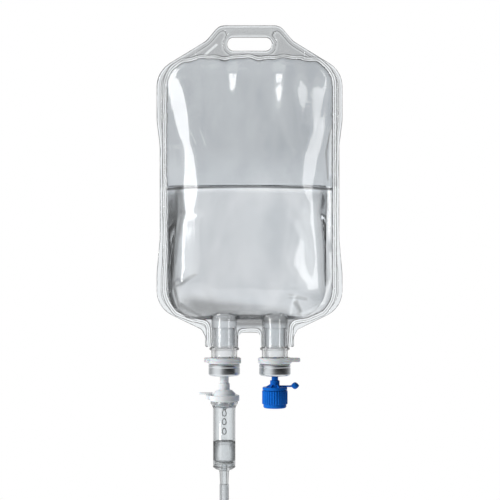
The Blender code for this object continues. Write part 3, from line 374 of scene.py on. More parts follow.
@dataclass(frozen=True)
class FilmFinish(Finish):
    """Clear film: lined along its welds and its edge with painted shade and painted highlights,
    with a painted dark line along the fluid's level, hazier where it is dry inside, faintly
    crinkled.

    A line of painted_highlights_and_scratches or painted_shade_bands holds its start x and z, its
    end x and z, half its width, and for the first the strength of the lightening, for the second
    the grey level.
    """

    cool: Colour = (0.975, 0.99, 1.0)
    wet: Colour = (0.785, 0.805, 0.825)
    wet_second: Colour = (0.93, 0.94, 0.95)
    level: float = FLUID_LEVEL
    crinkle: float = 0.0001
    ridge: float = 0.00045
    # Painted highlights: white streaks, ticks and soft patches on the film where lamps would glint,
    # and a few fine scratches.
    painted_highlights_and_scratches: Table = (
        (-0.0362, -0.0068, -0.0352, -0.0148, 0.0005, 1.0),
        (0.0372, -0.0066, 0.0368, -0.015, 0.0005, 1.0),
        (-0.031, -0.0135, -0.02, -0.003, 0.0026, 0.93),
        (-0.04, -0.062, -0.0352, -0.0725, 0.00035, 0.45),
        (-0.0335, -0.061, -0.029, -0.073, 0.0003, 0.35),
        (0.038, -0.082, 0.046, -0.075, 0.00035, 0.4),
        (0.0236, -0.0665, 0.032, -0.079, 0.0003, 0.35),
        (0.0559, -0.032, 0.0556, -0.058, 0.0008, 0.9),
        (0.0548, -0.057, 0.0536, -0.096, 0.0013, 0.6),
        (0.0533, -0.1015, 0.0533, -0.139, 0.0019, 1.0),
        (0.0536, -0.142, 0.0554, -0.164, 0.0017, 1.0),
        (0.0556, -0.158, 0.0484, -0.18, 0.0019, 1.0),
        (0.051, -0.1765, 0.033, -0.1862, 0.0016, 0.9), (0.03, -0.17, 0.027, -0.187, 0.0018, 0.6),
        (0.0395, -0.108, 0.0385, -0.174, 0.01, 0.42), (0.029, -0.12, 0.042, -0.154, 0.0034, 0.3),
        (-0.0394, -0.122, -0.0398, -0.164, 0.007, 0.42))
    # Painted shade: dark bands along the fluid's edges, round the foot, between the ports and
    # beside creases.
    painted_shade_bands: Table = (
        (-0.047, -0.0985, -0.044, -0.12, 0.0027, 0.5),
        (-0.044, -0.115, -0.0476, -0.135, 0.0026, 0.5),
        (-0.0474, -0.129, -0.0496, -0.154, 0.0022, 0.52),
        (-0.0494, -0.146, -0.0502, -0.17, 0.0019, 0.52),
        (-0.0503, -0.162, -0.046, -0.181, 0.0018, 0.48),
        (-0.0476, -0.1765, -0.029, -0.1885, 0.0018, 0.5),
        (-0.0506, -0.168, -0.034, -0.1575, 0.0013, 0.66),
        (0.0554, -0.056, 0.0512, -0.078, 0.0008, 0.6),
        (0.0511, -0.074, 0.0522, -0.097, 0.0008, 0.6),
        (0.0506, -0.099, 0.0506, -0.141, 0.0009, 0.45),
        (0.0557, -0.099, 0.0557, -0.142, 0.0009, 0.45),
        (0.0506, -0.142, 0.0516, -0.166, 0.0009, 0.72),
        (0.0245, -0.1715, 0.039, -0.1745, 0.001, 0.7),
        (0.03, -0.175, 0.0345, -0.184, 0.0017, 0.62),
        (-0.048, -0.177, 0.034, -0.189, 0.0095, 0.62),
        (-0.011, -0.1915, 0.011, -0.1915, 0.003, 0.6),
        (-0.026, -0.1885, 0.03, -0.1905, 0.0014, 0.55))

    def paint(self, bench: Bench, shader: Node) -> None:
        """Feed the shader; the sheet's attributes edge and weld are distances in metres.

        Args:
            bench: the material's bench.
            shader: its Principled shader.
        """
        wobble = bench.math("MULTIPLY_ADD", bench.noise((60, 60, 60)), 0.0016, -0.0008)
        edge, weld = (bench.add("ShaderNodeAttribute", attribute_name=name).outputs["Fac"]
                      for name in ("edge", "weld"))
        from_edge = bench.math("DIVIDE", bench.math("MULTIPLY_ADD", wobble, 0.5, edge), WELD_SPAN)
        from_weld = bench.math("MULTIPLY_ADD", bench.math("ADD", weld, wobble), 1 / WELD_SPAN, 0.5)
        # Painted shade and painted highlights: a dark line at the film's edge, then light lines and
        # a dark line within the border.
        outer = bench.ramp(from_edge, (
            (0.0, 0.42), (0.035, 0.48), (0.065, 0.92), (0.1, 1.0), (0.16, 0.92), (0.2, 0.78),
            (0.33, 0.84), (0.355, 0.6), (0.395, 0.6), (0.43, 0.88), (0.6, 0.77), (1.0, 0.77)))
        fade = bench.ramp(bench.noise((75, 75, 40), (0, 0.4, 0)), ((0.35, 0.86), (0.62, 1.0)),
                          "EASE")
        # Painted highlights: light lines along the welds, broken by noise.
        glints = bench.ramp(from_weld, (
            (0.16, 0.0), (0.19, 0.99), (0.25, 0.98), (0.285, 0.78), (0.325, 0.76), (0.36, 1.0),
            (0.43, 0.97), (0.465, 0.8), (0.48, 0.0)))
        # Painted shade: dark lines along the welds' creases; they also shape the welds' ridges in
        # the bump.
        crease_shade = bench.ramp(from_weld, (
            (0.1, 1.0), (0.12, 0.6), (0.146, 0.6), (0.165, 1.0), (0.288, 1.0), (0.303, 0.74),
            (0.322, 0.74), (0.337, 1.0), (0.455, 1.0), (0.482, 0.36), (0.52, 0.4), (0.55, 1.0),
            (0.59, 1.0), (0.605, 0.76), (0.625, 1.0)))
        inside = bench.ramp(from_weld, ((0.48, 0.0), (0.56, 1.0)), "EASE")
        wide = bench.noise((30, 30, 14), distortion=0.8)
        fine = bench.noise((170, 170, 60), (0, 0.3, 0), 1.0, 3.0, 1.2)
        swirl = bench.noise((24, 24, 15), (0, 0.5, 0), distortion=1.4)
        cloud = bench.ramp(bench.math("MULTIPLY_ADD", swirl, 0.6, bench.math(
            "MULTIPLY", wide, 0.4)), ((0.34, 0.0), (0.66, 1.0)), "EASE")
        x, _, z = bench.split(bench.add("ShaderNodeTexCoord").outputs["Object"])
        height = bench.math("MULTIPLY_ADD", z, 1 / HEIGHT_SPAN, 1.0)
        mark = 1 + self.level / HEIGHT_SPAN
        dry = bench.ramp(height, ((mark - 0.005, 0.0), (mark + 0.005, 1.0)))
        tint = bench.mix(dry, bench.mix(cloud, self.wet, self.wet_second),
                         bench.mix(cloud, self.colour, self.second))
        surface = bench.math("MULTIPLY_ADD", bench.math("MULTIPLY", x, x), 2.0, height)
        # Painted shade: a dark line along the fluid's level, curving up towards the sides, with
        # painted lighter bands just below and above it.
        rim = bench.ramp(surface, (
            (mark - 0.02, 1.0), (mark - 0.01, 1.1), (mark - 0.004, 1.09), (mark - 0.001, 0.44),
            (mark + 0.003, 0.4), (mark + 0.006, 1.1), (mark + 0.05, 1.08), (mark + 0.14, 1.0)))
        lighter = bench.ramp(height, ((mark - 0.005, 1.32), (mark + 0.005, 1.1), (0.9, 1.1),
                                      (0.94, 0.97)))
        # The border's lines: painted shade and painted highlights, lighter below the fluid's level.
        lines = bench.math("MAXIMUM", outer, bench.math("MULTIPLY", glints, fade))
        lines = bench.math("MINIMUM", bench.math("MULTIPLY", lines, lighter), 1.0)
        near_ports = bench.ramp(height, ((0.018, 0.5), (0.032, 0.0)), "EASE")
        tint = bench.mix(near_ports, tint, self.cool)
        x = bench.math("ADD", x, bench.math("MULTIPLY_ADD", swirl, 0.004, -0.002))
        # Painted shade bands darken the tint.
        for *line, level in self.painted_shade_bands:
            tint = bench.mix(self.streak(bench, x, z, *line), tint,
                             tuple(level * part for part in self.cool))
        # Painted highlights, and a few scratches, lighten the tint and the border's lines.
        for *line, level in self.painted_highlights_and_scratches:
            glint = bench.math("MULTIPLY", self.streak(bench, x, z, *line), level)
            tint = bench.mix(glint, tint, self.cool)
            lines = bench.math("MAXIMUM", lines, glint)
        # The painted level line goes over the tint.
        tint = bench.mix(1.0, tint, rim, "MULTIPLY")
        # Outside the chamber the border takes the painted lines; the painted crease shade goes over
        # all.
        tint = bench.mix(inside, bench.mix(lines, BLACK, self.cool), tint)
        tint = bench.mix(1.0, tint, crease_shade, "MULTIPLY")
        marks = Effect.MARKS.use(bench, Amount=self.marks).outputs
        welt = bench.mix(inside, bench.math("MULTIPLY", lines, crease_shade), (0.8, 0.8, 0.8))
        waves = bench.math("MULTIPLY", bench.math("MULTIPLY_ADD", fine, 0.25, wide), self.crinkle)
        relief = bench.math("MULTIPLY_ADD", marks["Height"], BUMP_SCUFFS, bench.math(
            "MULTIPLY_ADD", welt, self.ridge, waves))
        self.cover(bench, shader, tint, fine, marks["Mask"], 0.2, relief, 1.0)

    @staticmethod
    def streak(bench: Bench, x: Socket, z: Socket, x0: float, z0: float, x1: float, z1: float,
               width: float) -> Socket:
        """A mask that is 1 along a short line and fades round it.

        Args:
            bench: the material's bench.
            x: the place across.
            z: the height.
            x0: the line's start across.
            z0: its start height.
            x1: its end across.
            z1: its end height.
            width: half the mask's width.

        Returns:
            The mask.
        """
        reach = math.hypot(x1 - x0, z1 - z0)
        across, up = (x1 - x0) / reach, (z1 - z0) / reach
        along = bench.math("MULTIPLY_ADD", x, across / reach, -(x0 * across + z0 * up) / reach)
        along = bench.math("MULTIPLY_ADD", z, up / reach, along)
        aside = bench.math("MULTIPLY_ADD", x, up / width, (z0 * across - x0 * up) / width)
        aside = bench.math("ABSOLUTE", bench.math("MULTIPLY_ADD", z, -across / width, aside))
        ends = bench.ramp(along, ((0.0, 0.0), (0.16, 1.0), (0.84, 1.0), (1.0, 0.0)), "EASE")
        return bench.math("MULTIPLY", ends, bench.ramp(aside, ((0.15, 1.0), (1.0, 0.0)), "EASE"))


@dataclass(frozen=True)
class MetalFinish(Finish):
    """Drawn aluminium: turning lines round each cap, with a few handling marks."""

    def paint(self, bench: Bench, shader: Node) -> None:
        """Feed the shader with the metal's lines and smears.

        Args:
            bench: the material's bench.
            shader: its Principled shader.
        """
        lines = bench.noise((14, 14, 2600))
        smear = bench.noise((220, 220, 60))
        marks = Effect.MARKS.use(bench, Amount=self.marks).outputs
        colour = bench.mix(bench.ramp(lines, ((0.3, 0.0), (0.7, 1.0)), "EASE"), self.colour,
                           self.second)
        height = bench.math("ADD", lines, marks["Height"])
        self.cover(bench, shader, colour, smear, marks["Mask"], 0.2, height, self.relief)


FILM = FilmFinish("film_clear_look", (0.675, 0.698, 0.72), (0.755, 0.775, 0.792),
                  roughness=0.04, spread=0.04, transmission=1.0, ior=1.45, marks=0.5)
WATER = Finish("fluid_look", (0.955, 0.975, 0.985), (0.985, 0.992, 1.0), roughness=0.0,
               spread=0.0, transmission=1.0, ior=1.33, flow=25, relief=0.000001, marks=0.0)
# The drop's rim paints shade: a dark outline round its silhouette.
DROP = Finish("drop_look", (0.97, 0.98, 0.99), (0.99, 0.995, 1.0), roughness=0.0, spread=0.0,
              transmission=1.0, ior=1.18, flow=300, relief=0.000001, marks=0.0,
              rim=((0.0, 1.0), (0.17, 1.0), (0.27, 0.2), (1.0, 0.12)))
# The pool's rim paints shade: dark sides towards its silhouette.
POOL = Finish("pool_look", (0.95, 0.965, 0.975), (0.98, 0.985, 0.99), roughness=0.0, spread=0.0,
              transmission=1.0, ior=1.33, flow=60, relief=0.000001, marks=0.0,
              rim=((0.0, 1.0), (0.06, 1.0), (0.13, 0.45), (0.25, 0.24), (1.0, 0.32)))
MILKY = Finish("milky_port_look", (0.66, 0.71, 0.74), (0.74, 0.78, 0.81), roughness=0.3,
               transmission=0.12, ior=1.42, subsurface=0.35, flow=160)
# The neck's rim paints a little shade towards its silhouette.
NECK = Finish("port_neck_look", (0.955, 0.97, 0.98), (0.985, 0.99, 0.995), roughness=0.16,
              spread=0.04, transmission=0.94, ior=1.3, flow=120,
              rim=((0.0, 1.0), (0.3, 1.0), (0.6, 0.93), (0.85, 0.8), (1.0, 0.85)))
RUBBER = Finish("stopper_look", (0.4, 0.42, 0.44), (0.48, 0.49, 0.51), roughness=0.7,
                grain=1600, relief=0.00004)
METAL = MetalFinish("crimp_aluminium_look", (0.66, 0.7, 0.73), (0.74, 0.77, 0.79),
                    roughness=0.28, spread=0.05, metallic=1.0, relief=0.000008, marks=0.4)
WHITE = Finish("white_moulding_look", (0.7, 0.735, 0.76), (0.77, 0.8, 0.82), roughness=0.36,
               ior=1.38, subsurface=0.1, flow=130)
FELT = Finish("filter_felt_look", (0.7, 0.71, 0.7), (0.84, 0.84, 0.82), roughness=0.9,
              grain=2600, flow=700, relief=0.00012, marks=0.0)
# The barrel's rim paints shade: dark lines along its silhouette.
CHAMBER = Finish("chamber_look", (0.84, 0.865, 0.88), (0.88, 0.9, 0.91), roughness=0.03,
                 spread=0.03, transmission=1.0, ior=1.5, flow=80, relief=0.00001,
                 rim=((0.0, 1.02), (0.26, 0.99), (0.5, 0.8), (0.8, 0.58), (1.0, 0.72)))
BLUE = Finish("blue_moulding_look", (0.004, 0.118, 0.53), (0.006, 0.15, 0.63), roughness=0.3,
              ior=1.2, flow=110, marks=0.3)
# The tube's rim paints shade towards its silhouette.
TUBE = Finish("soft_tube_look", (0.7, 0.735, 0.76), (0.78, 0.81, 0.83), roughness=0.1,
              transmission=0.85, ior=1.47, flow=60,
              rim=((0.0, 1.0), (0.3, 1.0), (0.65, 0.74), (1.0, 0.62)))
TIE = Finish("tie_look", (0.74, 0.74, 0.72), (0.82, 0.82, 0.8), roughness=0.5, grain=1500,
             relief=0.00005)
FLOOR = Finish("studio_floor", (0.8, 0.8, 0.8), (0.82, 0.82, 0.82), roughness=0.85, flow=3,
               grain=60, marks=0.0)


# ---------------------------------------------------------------- making meshes


def rounded(corners: Sequence[Corner], closed: bool = True, step: float = 12.0) -> list[Vector]:
    """Points of an outline whose corners are arcs.

    Args:
        corners: each (across, up, radius).
        closed: whether the outline comes back to its start.
        step: the widest turn between two points of an arc, in degrees.

    Returns:
        The outline's points.
    """
    points: list[Vector] = []
    count = len(corners)
    for index, (across, up, radius) in enumerate(corners):
        corner = Vector((across, up))
        if radius <= 0 or (not closed and index in (0, count - 1)):
            points.append(corner)
            continue
        before = Vector(corners[index - 1][:2]) - corner
        after = Vector(corners[(index + 1) % count][:2]) - corner
        half_angle = before.angle(after) / 2
        reach = min(radius / math.tan(half_angle), 0.49 * min(before.length, after.length))
        fitted = reach * math.tan(half_angle)
        before.normalize()
        after.normalize()
        centre = corner + (before + after).normalized() * fitted / math.sin(half_angle)
        spoke = corner + before * reach - centre
        sweep = math.pi - 2 * half_angle
        side = math.copysign(1, after.cross(before))
        steps = max(2, math.ceil(sweep / math.radians(step)))
        for turn in range(steps + 1):
            points.append(centre + Matrix.Rotation(side * sweep * turn / steps, 2) @ spoke)
    return points


def as_mesh(work: Shape, name: str) -> bpy.types.Mesh:
    """Write a shape to a new mesh and free it.

    Args:
        work: the shape.
        name: the mesh's name.

    Returns:
        The mesh.
    """
    mesh = bpy.data.meshes.new(name)
    work.to_mesh(mesh)
    work.free()
    return mesh


def linked(name: str, data: bpy.types.ID) -> bpy.types.Object:
    """Put an object into the scene.

    Args:
        name: its name.
        data: its mesh, curve, lamp or camera.

    Returns:
        The object.
    """
    made = bpy.data.objects.new(name, data)
    bpy.context.scene.collection.objects.link(made)
    return made


def eased(stations: Sequence[Sequence[float]], at: float, straight: float) -> list[float]:
    """Sizes between stations that rise or fall in order.

    Args:
        stations: each a place with the sizes there.
        at: the place that is asked for.
        straight: 1 for straight runs between stations, 0 for runs level at both ends.

    Returns:
        The sizes.
    """
    for (start, *low), (stop, *high) in zip(stations, stations[1:]):
        if (at - stop) * (stop - start) <= 0:
            share = max(0.0, (at - start) / (stop - start))
            share = straight * share + (1 - straight) * share * share * (3 - 2 * share)
            return [first + (second - first) * share for first, second in zip(low, high)]
    return list(stations[-1][1:])


@dataclass
class Piece:
    """One finished piece: its mesh, what it is made of, and which body carries it."""

    name: str
    finish: Finish
    body: str
    slot: str
    replaces: tuple[str, ...] = ()
    crease: float = 34.0

    def place(self, work: Shape) -> bpy.types.Object:
        """Write a shape to the piece's object.

        Args:
            work: the shape, in the object's own frame; it is freed.

        Returns:
            The object.
        """
        bmesh.ops.remove_doubles(work, verts=work.verts, dist=MERGE)
        bmesh.ops.dissolve_degenerate(work, edges=work.edges, dist=SLIVER)
        return self.wrap(as_mesh(work, self.name))

    def wrap(self, data: bpy.types.ID) -> bpy.types.Object:
        """Make the object around a mesh or curve, dress it and let it ride.

        Args:
            data: the mesh or curve.

        Returns:
            The object.
        """
        made = linked(self.name, data)
        data.materials.append(self.finish.material())
        if isinstance(data, bpy.types.Mesh):
            data.shade_smooth()
            data.set_sharp_from_angle(angle=math.radians(self.crease))
        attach(made, self.body)
        if self.replaces:
            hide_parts(*self.replaces)
        log.info("%s rides on %s", self.name, self.body)
        return made


def dress(finish: Finish, *names: str) -> list[bpy.types.Object]:
    """Give a finish to CAD nodes that show as they are.

    Args:
        finish: what they are made of.
        names: the nodes.

    Returns:
        Their objects.
    """
    nodes = [bpy.data.objects[name] for name in names]
    for node in nodes:
        node.material_slots[0].material = finish.material()
    return nodes


def spun(corners: Sequence[Corner], at: Point = (0, 0, 0), steps: int = 56,
         arc: float = 15.0) -> Shape:
    """A turned shape round the upright axis through a point.

    Args:
        corners: (radius, height, corner radius), down the outer side and back up a bore.
        at: where the axis stands; its height is added too.
        steps: how many facets go round.
        arc: the widest turn between two points of a round corner, in degrees.

    Returns:
        The shape.
    """
    closed = corners[0][0] > 0
    profile = rounded(corners, closed, arc)
    work = bmesh.new()
    ring = [work.verts.new((point.x, 0, point.y)) for point in profile]
    pairs = list(zip(ring, ring[1:])) + ([(ring[-1], ring[0])] if closed else [])
    edges = [work.edges.new(pair) for pair in pairs]
    bmesh.ops.spin(work, geom=ring + edges, cent=(0, 0, 0), axis=(0, 0, 1), angle=2 * math.pi,
                   steps=steps, use_merge=True, use_duplicate=False)
    bmesh.ops.remove_doubles(work, verts=work.verts, dist=MERGE)
    bmesh.ops.translate(work, vec=at, verts=work.verts)
    bmesh.ops.recalc_face_normals(work, faces=work.faces)
    return work


def slab(outline: Sequence[Vector], thickness: float, place: Matrix, bevel: float = 0.0,
         segments: int = 2) -> Shape:
    """A flat plate from an outline in X and Y, centred on Z = 0, with bevelled edges.

    Args:
        outline: the edge's points.
        thickness: the plate's thickness.
        place: where it goes.
        bevel: width of the bevel on its two rims.
        segments: how round the bevel is.

    Returns:
        The plate.
    """
    work = bmesh.new()
    face = work.faces.new([work.verts.new((point.x, point.y, -thickness / 2)) for point in outline])
    made = bmesh.ops.extrude_face_region(work, geom=[face])
    top = [item for item in made["geom"] if isinstance(item, bmesh.types.BMVert)]
    bmesh.ops.translate(work, vec=(0, 0, thickness), verts=top)
    if bevel:
        rims = [edge for edge in work.edges
                if abs(edge.verts[0].co.z - edge.verts[1].co.z) < thickness / 4]
        bmesh.ops.bevel(work, geom=rims, offset=bevel, offset_type="OFFSET", affect="EDGES",
                        segments=segments, profile=0.5, material=-1, clamp_overlap=True)
    bmesh.ops.recalc_face_normals(work, faces=work.faces)
    bmesh.ops.transform(work, matrix=place, verts=work.verts)
    return work


def block(low: Point, high: Point, bevel: float = 0.0, segments: int = 3) -> Shape:
    """A box between two corners with rounded edges.

    Args:
        low: its lowest corner.
        high: its highest corner.
        bevel: radius of its edges.
        segments: how round they are.

    Returns:
        The box.
    """
    work = bmesh.new()
    bmesh.ops.create_cube(work, size=1)
    bmesh.ops.scale(work, vec=Vector(high) - Vector(low), verts=work.verts)
    bmesh.ops.translate(work, vec=(Vector(high) + Vector(low)) / 2, verts=work.verts)
    if bevel:
        bmesh.ops.bevel(work, geom=work.edges[:], offset=bevel, offset_type="OFFSET",
                        affect="EDGES", segments=segments, profile=0.5, material=-1)
    return work


def block_ring(at: Point, turns: Iterable[float], low: Point, high: Point, bevel: float,
               operation: str, drop: float = 0.0) -> list[tuple[Shape, str]]:
    """The same block at several places round an upright axis.

    Args:
        at: where the axis stands.
        turns: the places, in degrees from +X.
        low: the block's lowest corner at 0 degrees.
        high: its highest corner there.
        bevel: radius of its edges.
        operation: what the blocks do to the shape that they go to.
        drop: how much lower their outer upper edge lies.

    Returns:
        Each block with the operation.
    """
    blocks = []
    for turn in turns:
        work = block(low, high, bevel, 1)
        outer = [vert for vert in work.verts if vert.co.x > (low[0] + high[0]) / 2
                 and vert.co.z > (low[2] + high[2]) / 2]
        bmesh.ops.translate(work, vec=(0, 0, -drop), verts=outer)
        place = Matrix.Translation(at) @ Matrix.Rotation(math.radians(turn), 4, "Z")
        bmesh.ops.transform(work, matrix=place, verts=work.verts)
        blocks.append((work, operation))
    return blocks


def ribbed(ribs: int, parts: int, reach: Callable[[float], float], x: float = 0.0,
           y: float = 0.0) -> list[Vector]:
    """The outline of a round part with ribs.

    Args:
        ribs: how many ribs it has.
        parts: how many points each rib has.
        reach: its radius at a turn, where every rib takes a full turn.
        x: its middle across.
        y: its other middle.

    Returns:
        The outline's points.
    """
    points = []
    for index in range(ribs * parts):
        turn = 2 * math.pi * index / (ribs * parts)
        radius = reach(ribs * turn)
        points.append(Vector((x + radius * math.cos(turn), y + radius * math.sin(turn))))
    return points


def toothed(radius: float) -> Callable[[float], float]:
    """The reach of fine rounded teeth, for an outline with ribs.

    Args:
        radius: the radius at the teeth's crests.

    Returns:
        The reach at a turn.
    """
    return lambda turn: radius - 0.0003 * (0.5 - 0.5 * math.cos(turn)) ** 2


def absorb(work: Shape, *others: Shape) -> None:
    """Add other shapes to a shape.

    Args:
        work: the shape that takes them.
        others: the shapes that are added; they are freed.
    """
    for other in others:
        passing = as_mesh(other, "passing")
        work.from_mesh(passing)
        bpy.data.meshes.remove(passing)


def carved(work: Shape, cutters: Iterable[tuple[Shape, str]]) -> Shape:
    """Cut, join or intersect a shape with others through Boolean modifiers.

    Args:
        work: the shape; it is freed, as the others are.
        cutters: each other shape with its operation.

    Returns:
        The result.
    """
    passing = [linked("blank", as_mesh(work, "blank"))]
    for index, (cutter, operation) in enumerate(cutters):
        passing.append(linked(f"cutter{index}", as_mesh(cutter, f"cutter{index}")))
        change = passing[0].modifiers.new(f"cut{index}", "BOOLEAN")
        change.operation = operation
        change.solver = "EXACT"
        change.object = passing[-1]
    bpy.context.view_layer.update()
    graph = bpy.context.evaluated_depsgraph_get()
    finished = bpy.data.meshes.new_from_object(passing[0].evaluated_get(graph))
    result = bmesh.new()
    result.from_mesh(finished)
    for mesh in [finished] + [made.data for made in passing]:
        bpy.data.meshes.remove(mesh)
    bmesh.ops.remove_doubles(result, verts=result.verts, dist=SLIVER)
    return result


# ---------------------------------------------------------------- studio


@dataclass
class Studio:
    """The camera at the photograph's place, a white surround and soft lamps."""

    camera_place: Point = (0.0003, -1.0, -0.1423)
    frame_height: float = 0.335
    floor_height: float = -0.6
    floor_radius: float = 0.9
    ambient: float = 0.3

    def build(self) -> None:
        """Set up the camera, the world, the floor and the lamps."""
        scene = bpy.context.scene
        scene.view_settings.view_transform = "Standard"
        self.set_camera(scene)
        self.set_world(scene)
        self.set_floor()
        aim = (0.0, 0.0, -0.14)
        self.lamp("key_core", (-0.7, -0.74, 0.08), aim, (0.34, 1.05), 13.0, diffuse=False)
        self.lamp("key_halo", (-0.72, -0.76, 0.08), aim, (0.64, 1.3), 4.3, diffuse=False)
        self.lamp("side_core", (0.7, -0.74, 0.06), aim, (0.24, 0.8), 4.0, diffuse=False)
        self.lamp("side_halo", (0.72, -0.76, 0.06), aim, (0.5, 1.1), 1.7, diffuse=False)
        self.lamp("key_soft", (-1.0, -0.4, 0.1), aim, (0.5, 0.8), 11.0, glossy=False)
        self.lamp("rim_right", (0.95, -0.1, -0.1), aim, (0.3, 0.6), 3.0, glossy=False)
        self.lamp("top_soft", (-0.3, -0.25, 0.75), aim, (0.7, 0.5), 1.0)
        below = self.floor_height + 0.1
        self.lamp("floor_wash", (0, 0, below), (0, 0, below - 1), (1.8, 1.8), 6.0, glossy=False)

    def keep_to(self, names: Iterable[str], pieces: Iterable[bpy.types.Object]) -> None:
        """Let some lamps light only some pieces.

        Args:
            names: the lamps' names.
            pieces: the pieces that they light.
        """
        lit = bpy.data.collections.new("lit_pieces")
        for piece in pieces:
            lit.objects.link(piece)
        for name in names:
            bpy.data.objects[name].light_linking.receiver_collection = lit

    def set_camera(self, scene: bpy.types.Scene) -> None:
        """A level camera that looks along +Y, with the photograph's frame at the bag's plane.

        Args:
            scene: the scene that takes it.
        """
        data = bpy.data.cameras.new("camera")
        data.sensor_width = 36.0
        data.lens = data.sensor_width * abs(self.camera_place[1]) / self.frame_height
        camera = linked("camera", data)
        camera.location = self.camera_place
        camera.rotation_euler = (math.pi / 2, 0, 0)
        scene.camera = camera

    def set_world(self, scene: bpy.types.Scene) -> None:
        """White to the camera; softer and darker to one side in glass and metal.

        Args:
            scene: the scene that takes it.
        """
        world = bpy.data.worlds.new("studio")
        world.use_nodes = True
        scene.world = world
        bench = Bench(world.node_tree)
        background = world.node_tree.nodes["Background"].inputs
        rays = bench.add("ShaderNodeLightPath").outputs
        across, along, up = bench.split(bench.add("ShaderNodeTexCoord").outputs["Generated"])
        turn = bench.math("MULTIPLY_ADD", bench.math("ARCTAN2", across, along),
                          1 / (2 * math.pi), 0.5)
        through = bench.ramp(turn, self.ring(
            (-180, 0.6), (-130, 0.75), (-100, 0.7), (-80, 0.85), (-65, 1.0), (15, 1.0), (26, 0.4),
            (40, 0.14), (90, 0.14), (130, 0.3), (180, 0.6)))
        shade = bench.ramp(bench.math("ABSOLUTE", up), (
            (0.0, 1.0), (0.22, 1.0), (0.36, 0.4), (0.7, 0.4), (1.0, 0.75)))
        through = bench.math("MULTIPLY", through, shade)
        mirrored = bench.ramp(turn, self.ring(
            (-180, 0.12), (-165, 0.34), (-148, 0.95), (-122, 1.0), (-98, 0.85), (-70, 0.38),
            (-40, 0.6), (0, 1.0), (40, 0.6), (75, 0.16), (110, 0.02), (145, 0.01), (165, 0.03),
            (180, 0.12)))
        seen = bench.mix(rays["Is Glossy Ray"], through, mirrored)
        sharp = bench.math("MAXIMUM", rays["Is Glossy Ray"], rays["Is Transmission Ray"])
        dim = 0.24 * self.ambient
        ambient = bench.ramp(turn, self.ring(
            (-180, self.ambient), (-90, 1.6 * self.ambient), (0, self.ambient), (60, dim),
            (120, dim), (180, self.ambient)))
        lit = bench.mix(sharp, ambient, seen)
        bench.feed(bench.mix(rays["Is Camera Ray"], lit, WHITE_LIGHT), background["Color"])
        background["Strength"].default_value = 1.0

    @staticmethod
    def ring(*levels: tuple[float, float]) -> list[tuple[float, float]]:
        """Ramp stops from levels round the object.

        Args:
            levels: an azimuth in degrees from +Y towards +X, with its grey level.

        Returns:
            The stops.
        """
        return [((azimuth + 180) / 360, level) for azimuth, level in levels]

    def set_floor(self) -> None:
        """A pale round floor under the hung object, with a rounded edge."""
        work = spun([(0, 0, 0), (self.floor_radius, 0, 0.01), (self.floor_radius, -0.02, 0.005),
                     (0, -0.02, 0)], (0, 0, self.floor_height), 96)
        floor = linked("floor", as_mesh(work, "floor"))
        floor.data.materials.append(FLOOR.material())

    def lamp(self, name: str, at: Point, towards: Point, size: tuple[float, float],
             power: float, glossy: bool = True, diffuse: bool = True) -> None:
        """A soft rectangular lamp that the camera itself doesn't see.

        Args:
            name: its name.
            at: where it hangs.
            towards: the point that it faces.
            size: its width and height.
            power: its power in watts.
            glossy: whether it shows in reflections.
            diffuse: whether it lights matt surfaces.
        """
        data = bpy.data.lights.new(name, "AREA")
        data.shape = "RECTANGLE"
        data.size, data.size_y = size
        data.energy = power
        lamp = linked(name, data)
        lamp.location = at
        lamp.rotation_euler = (Vector(towards) - Vector(at)).to_track_quat("-Z", "Y").to_euler()
        lamp.visible_camera = False
        lamp.visible_transmission = False
        lamp.visible_glossy = glossy
        lamp.visible_diffuse = diffuse


# ---------------------------------------------------------------- the tube, its coil and its end


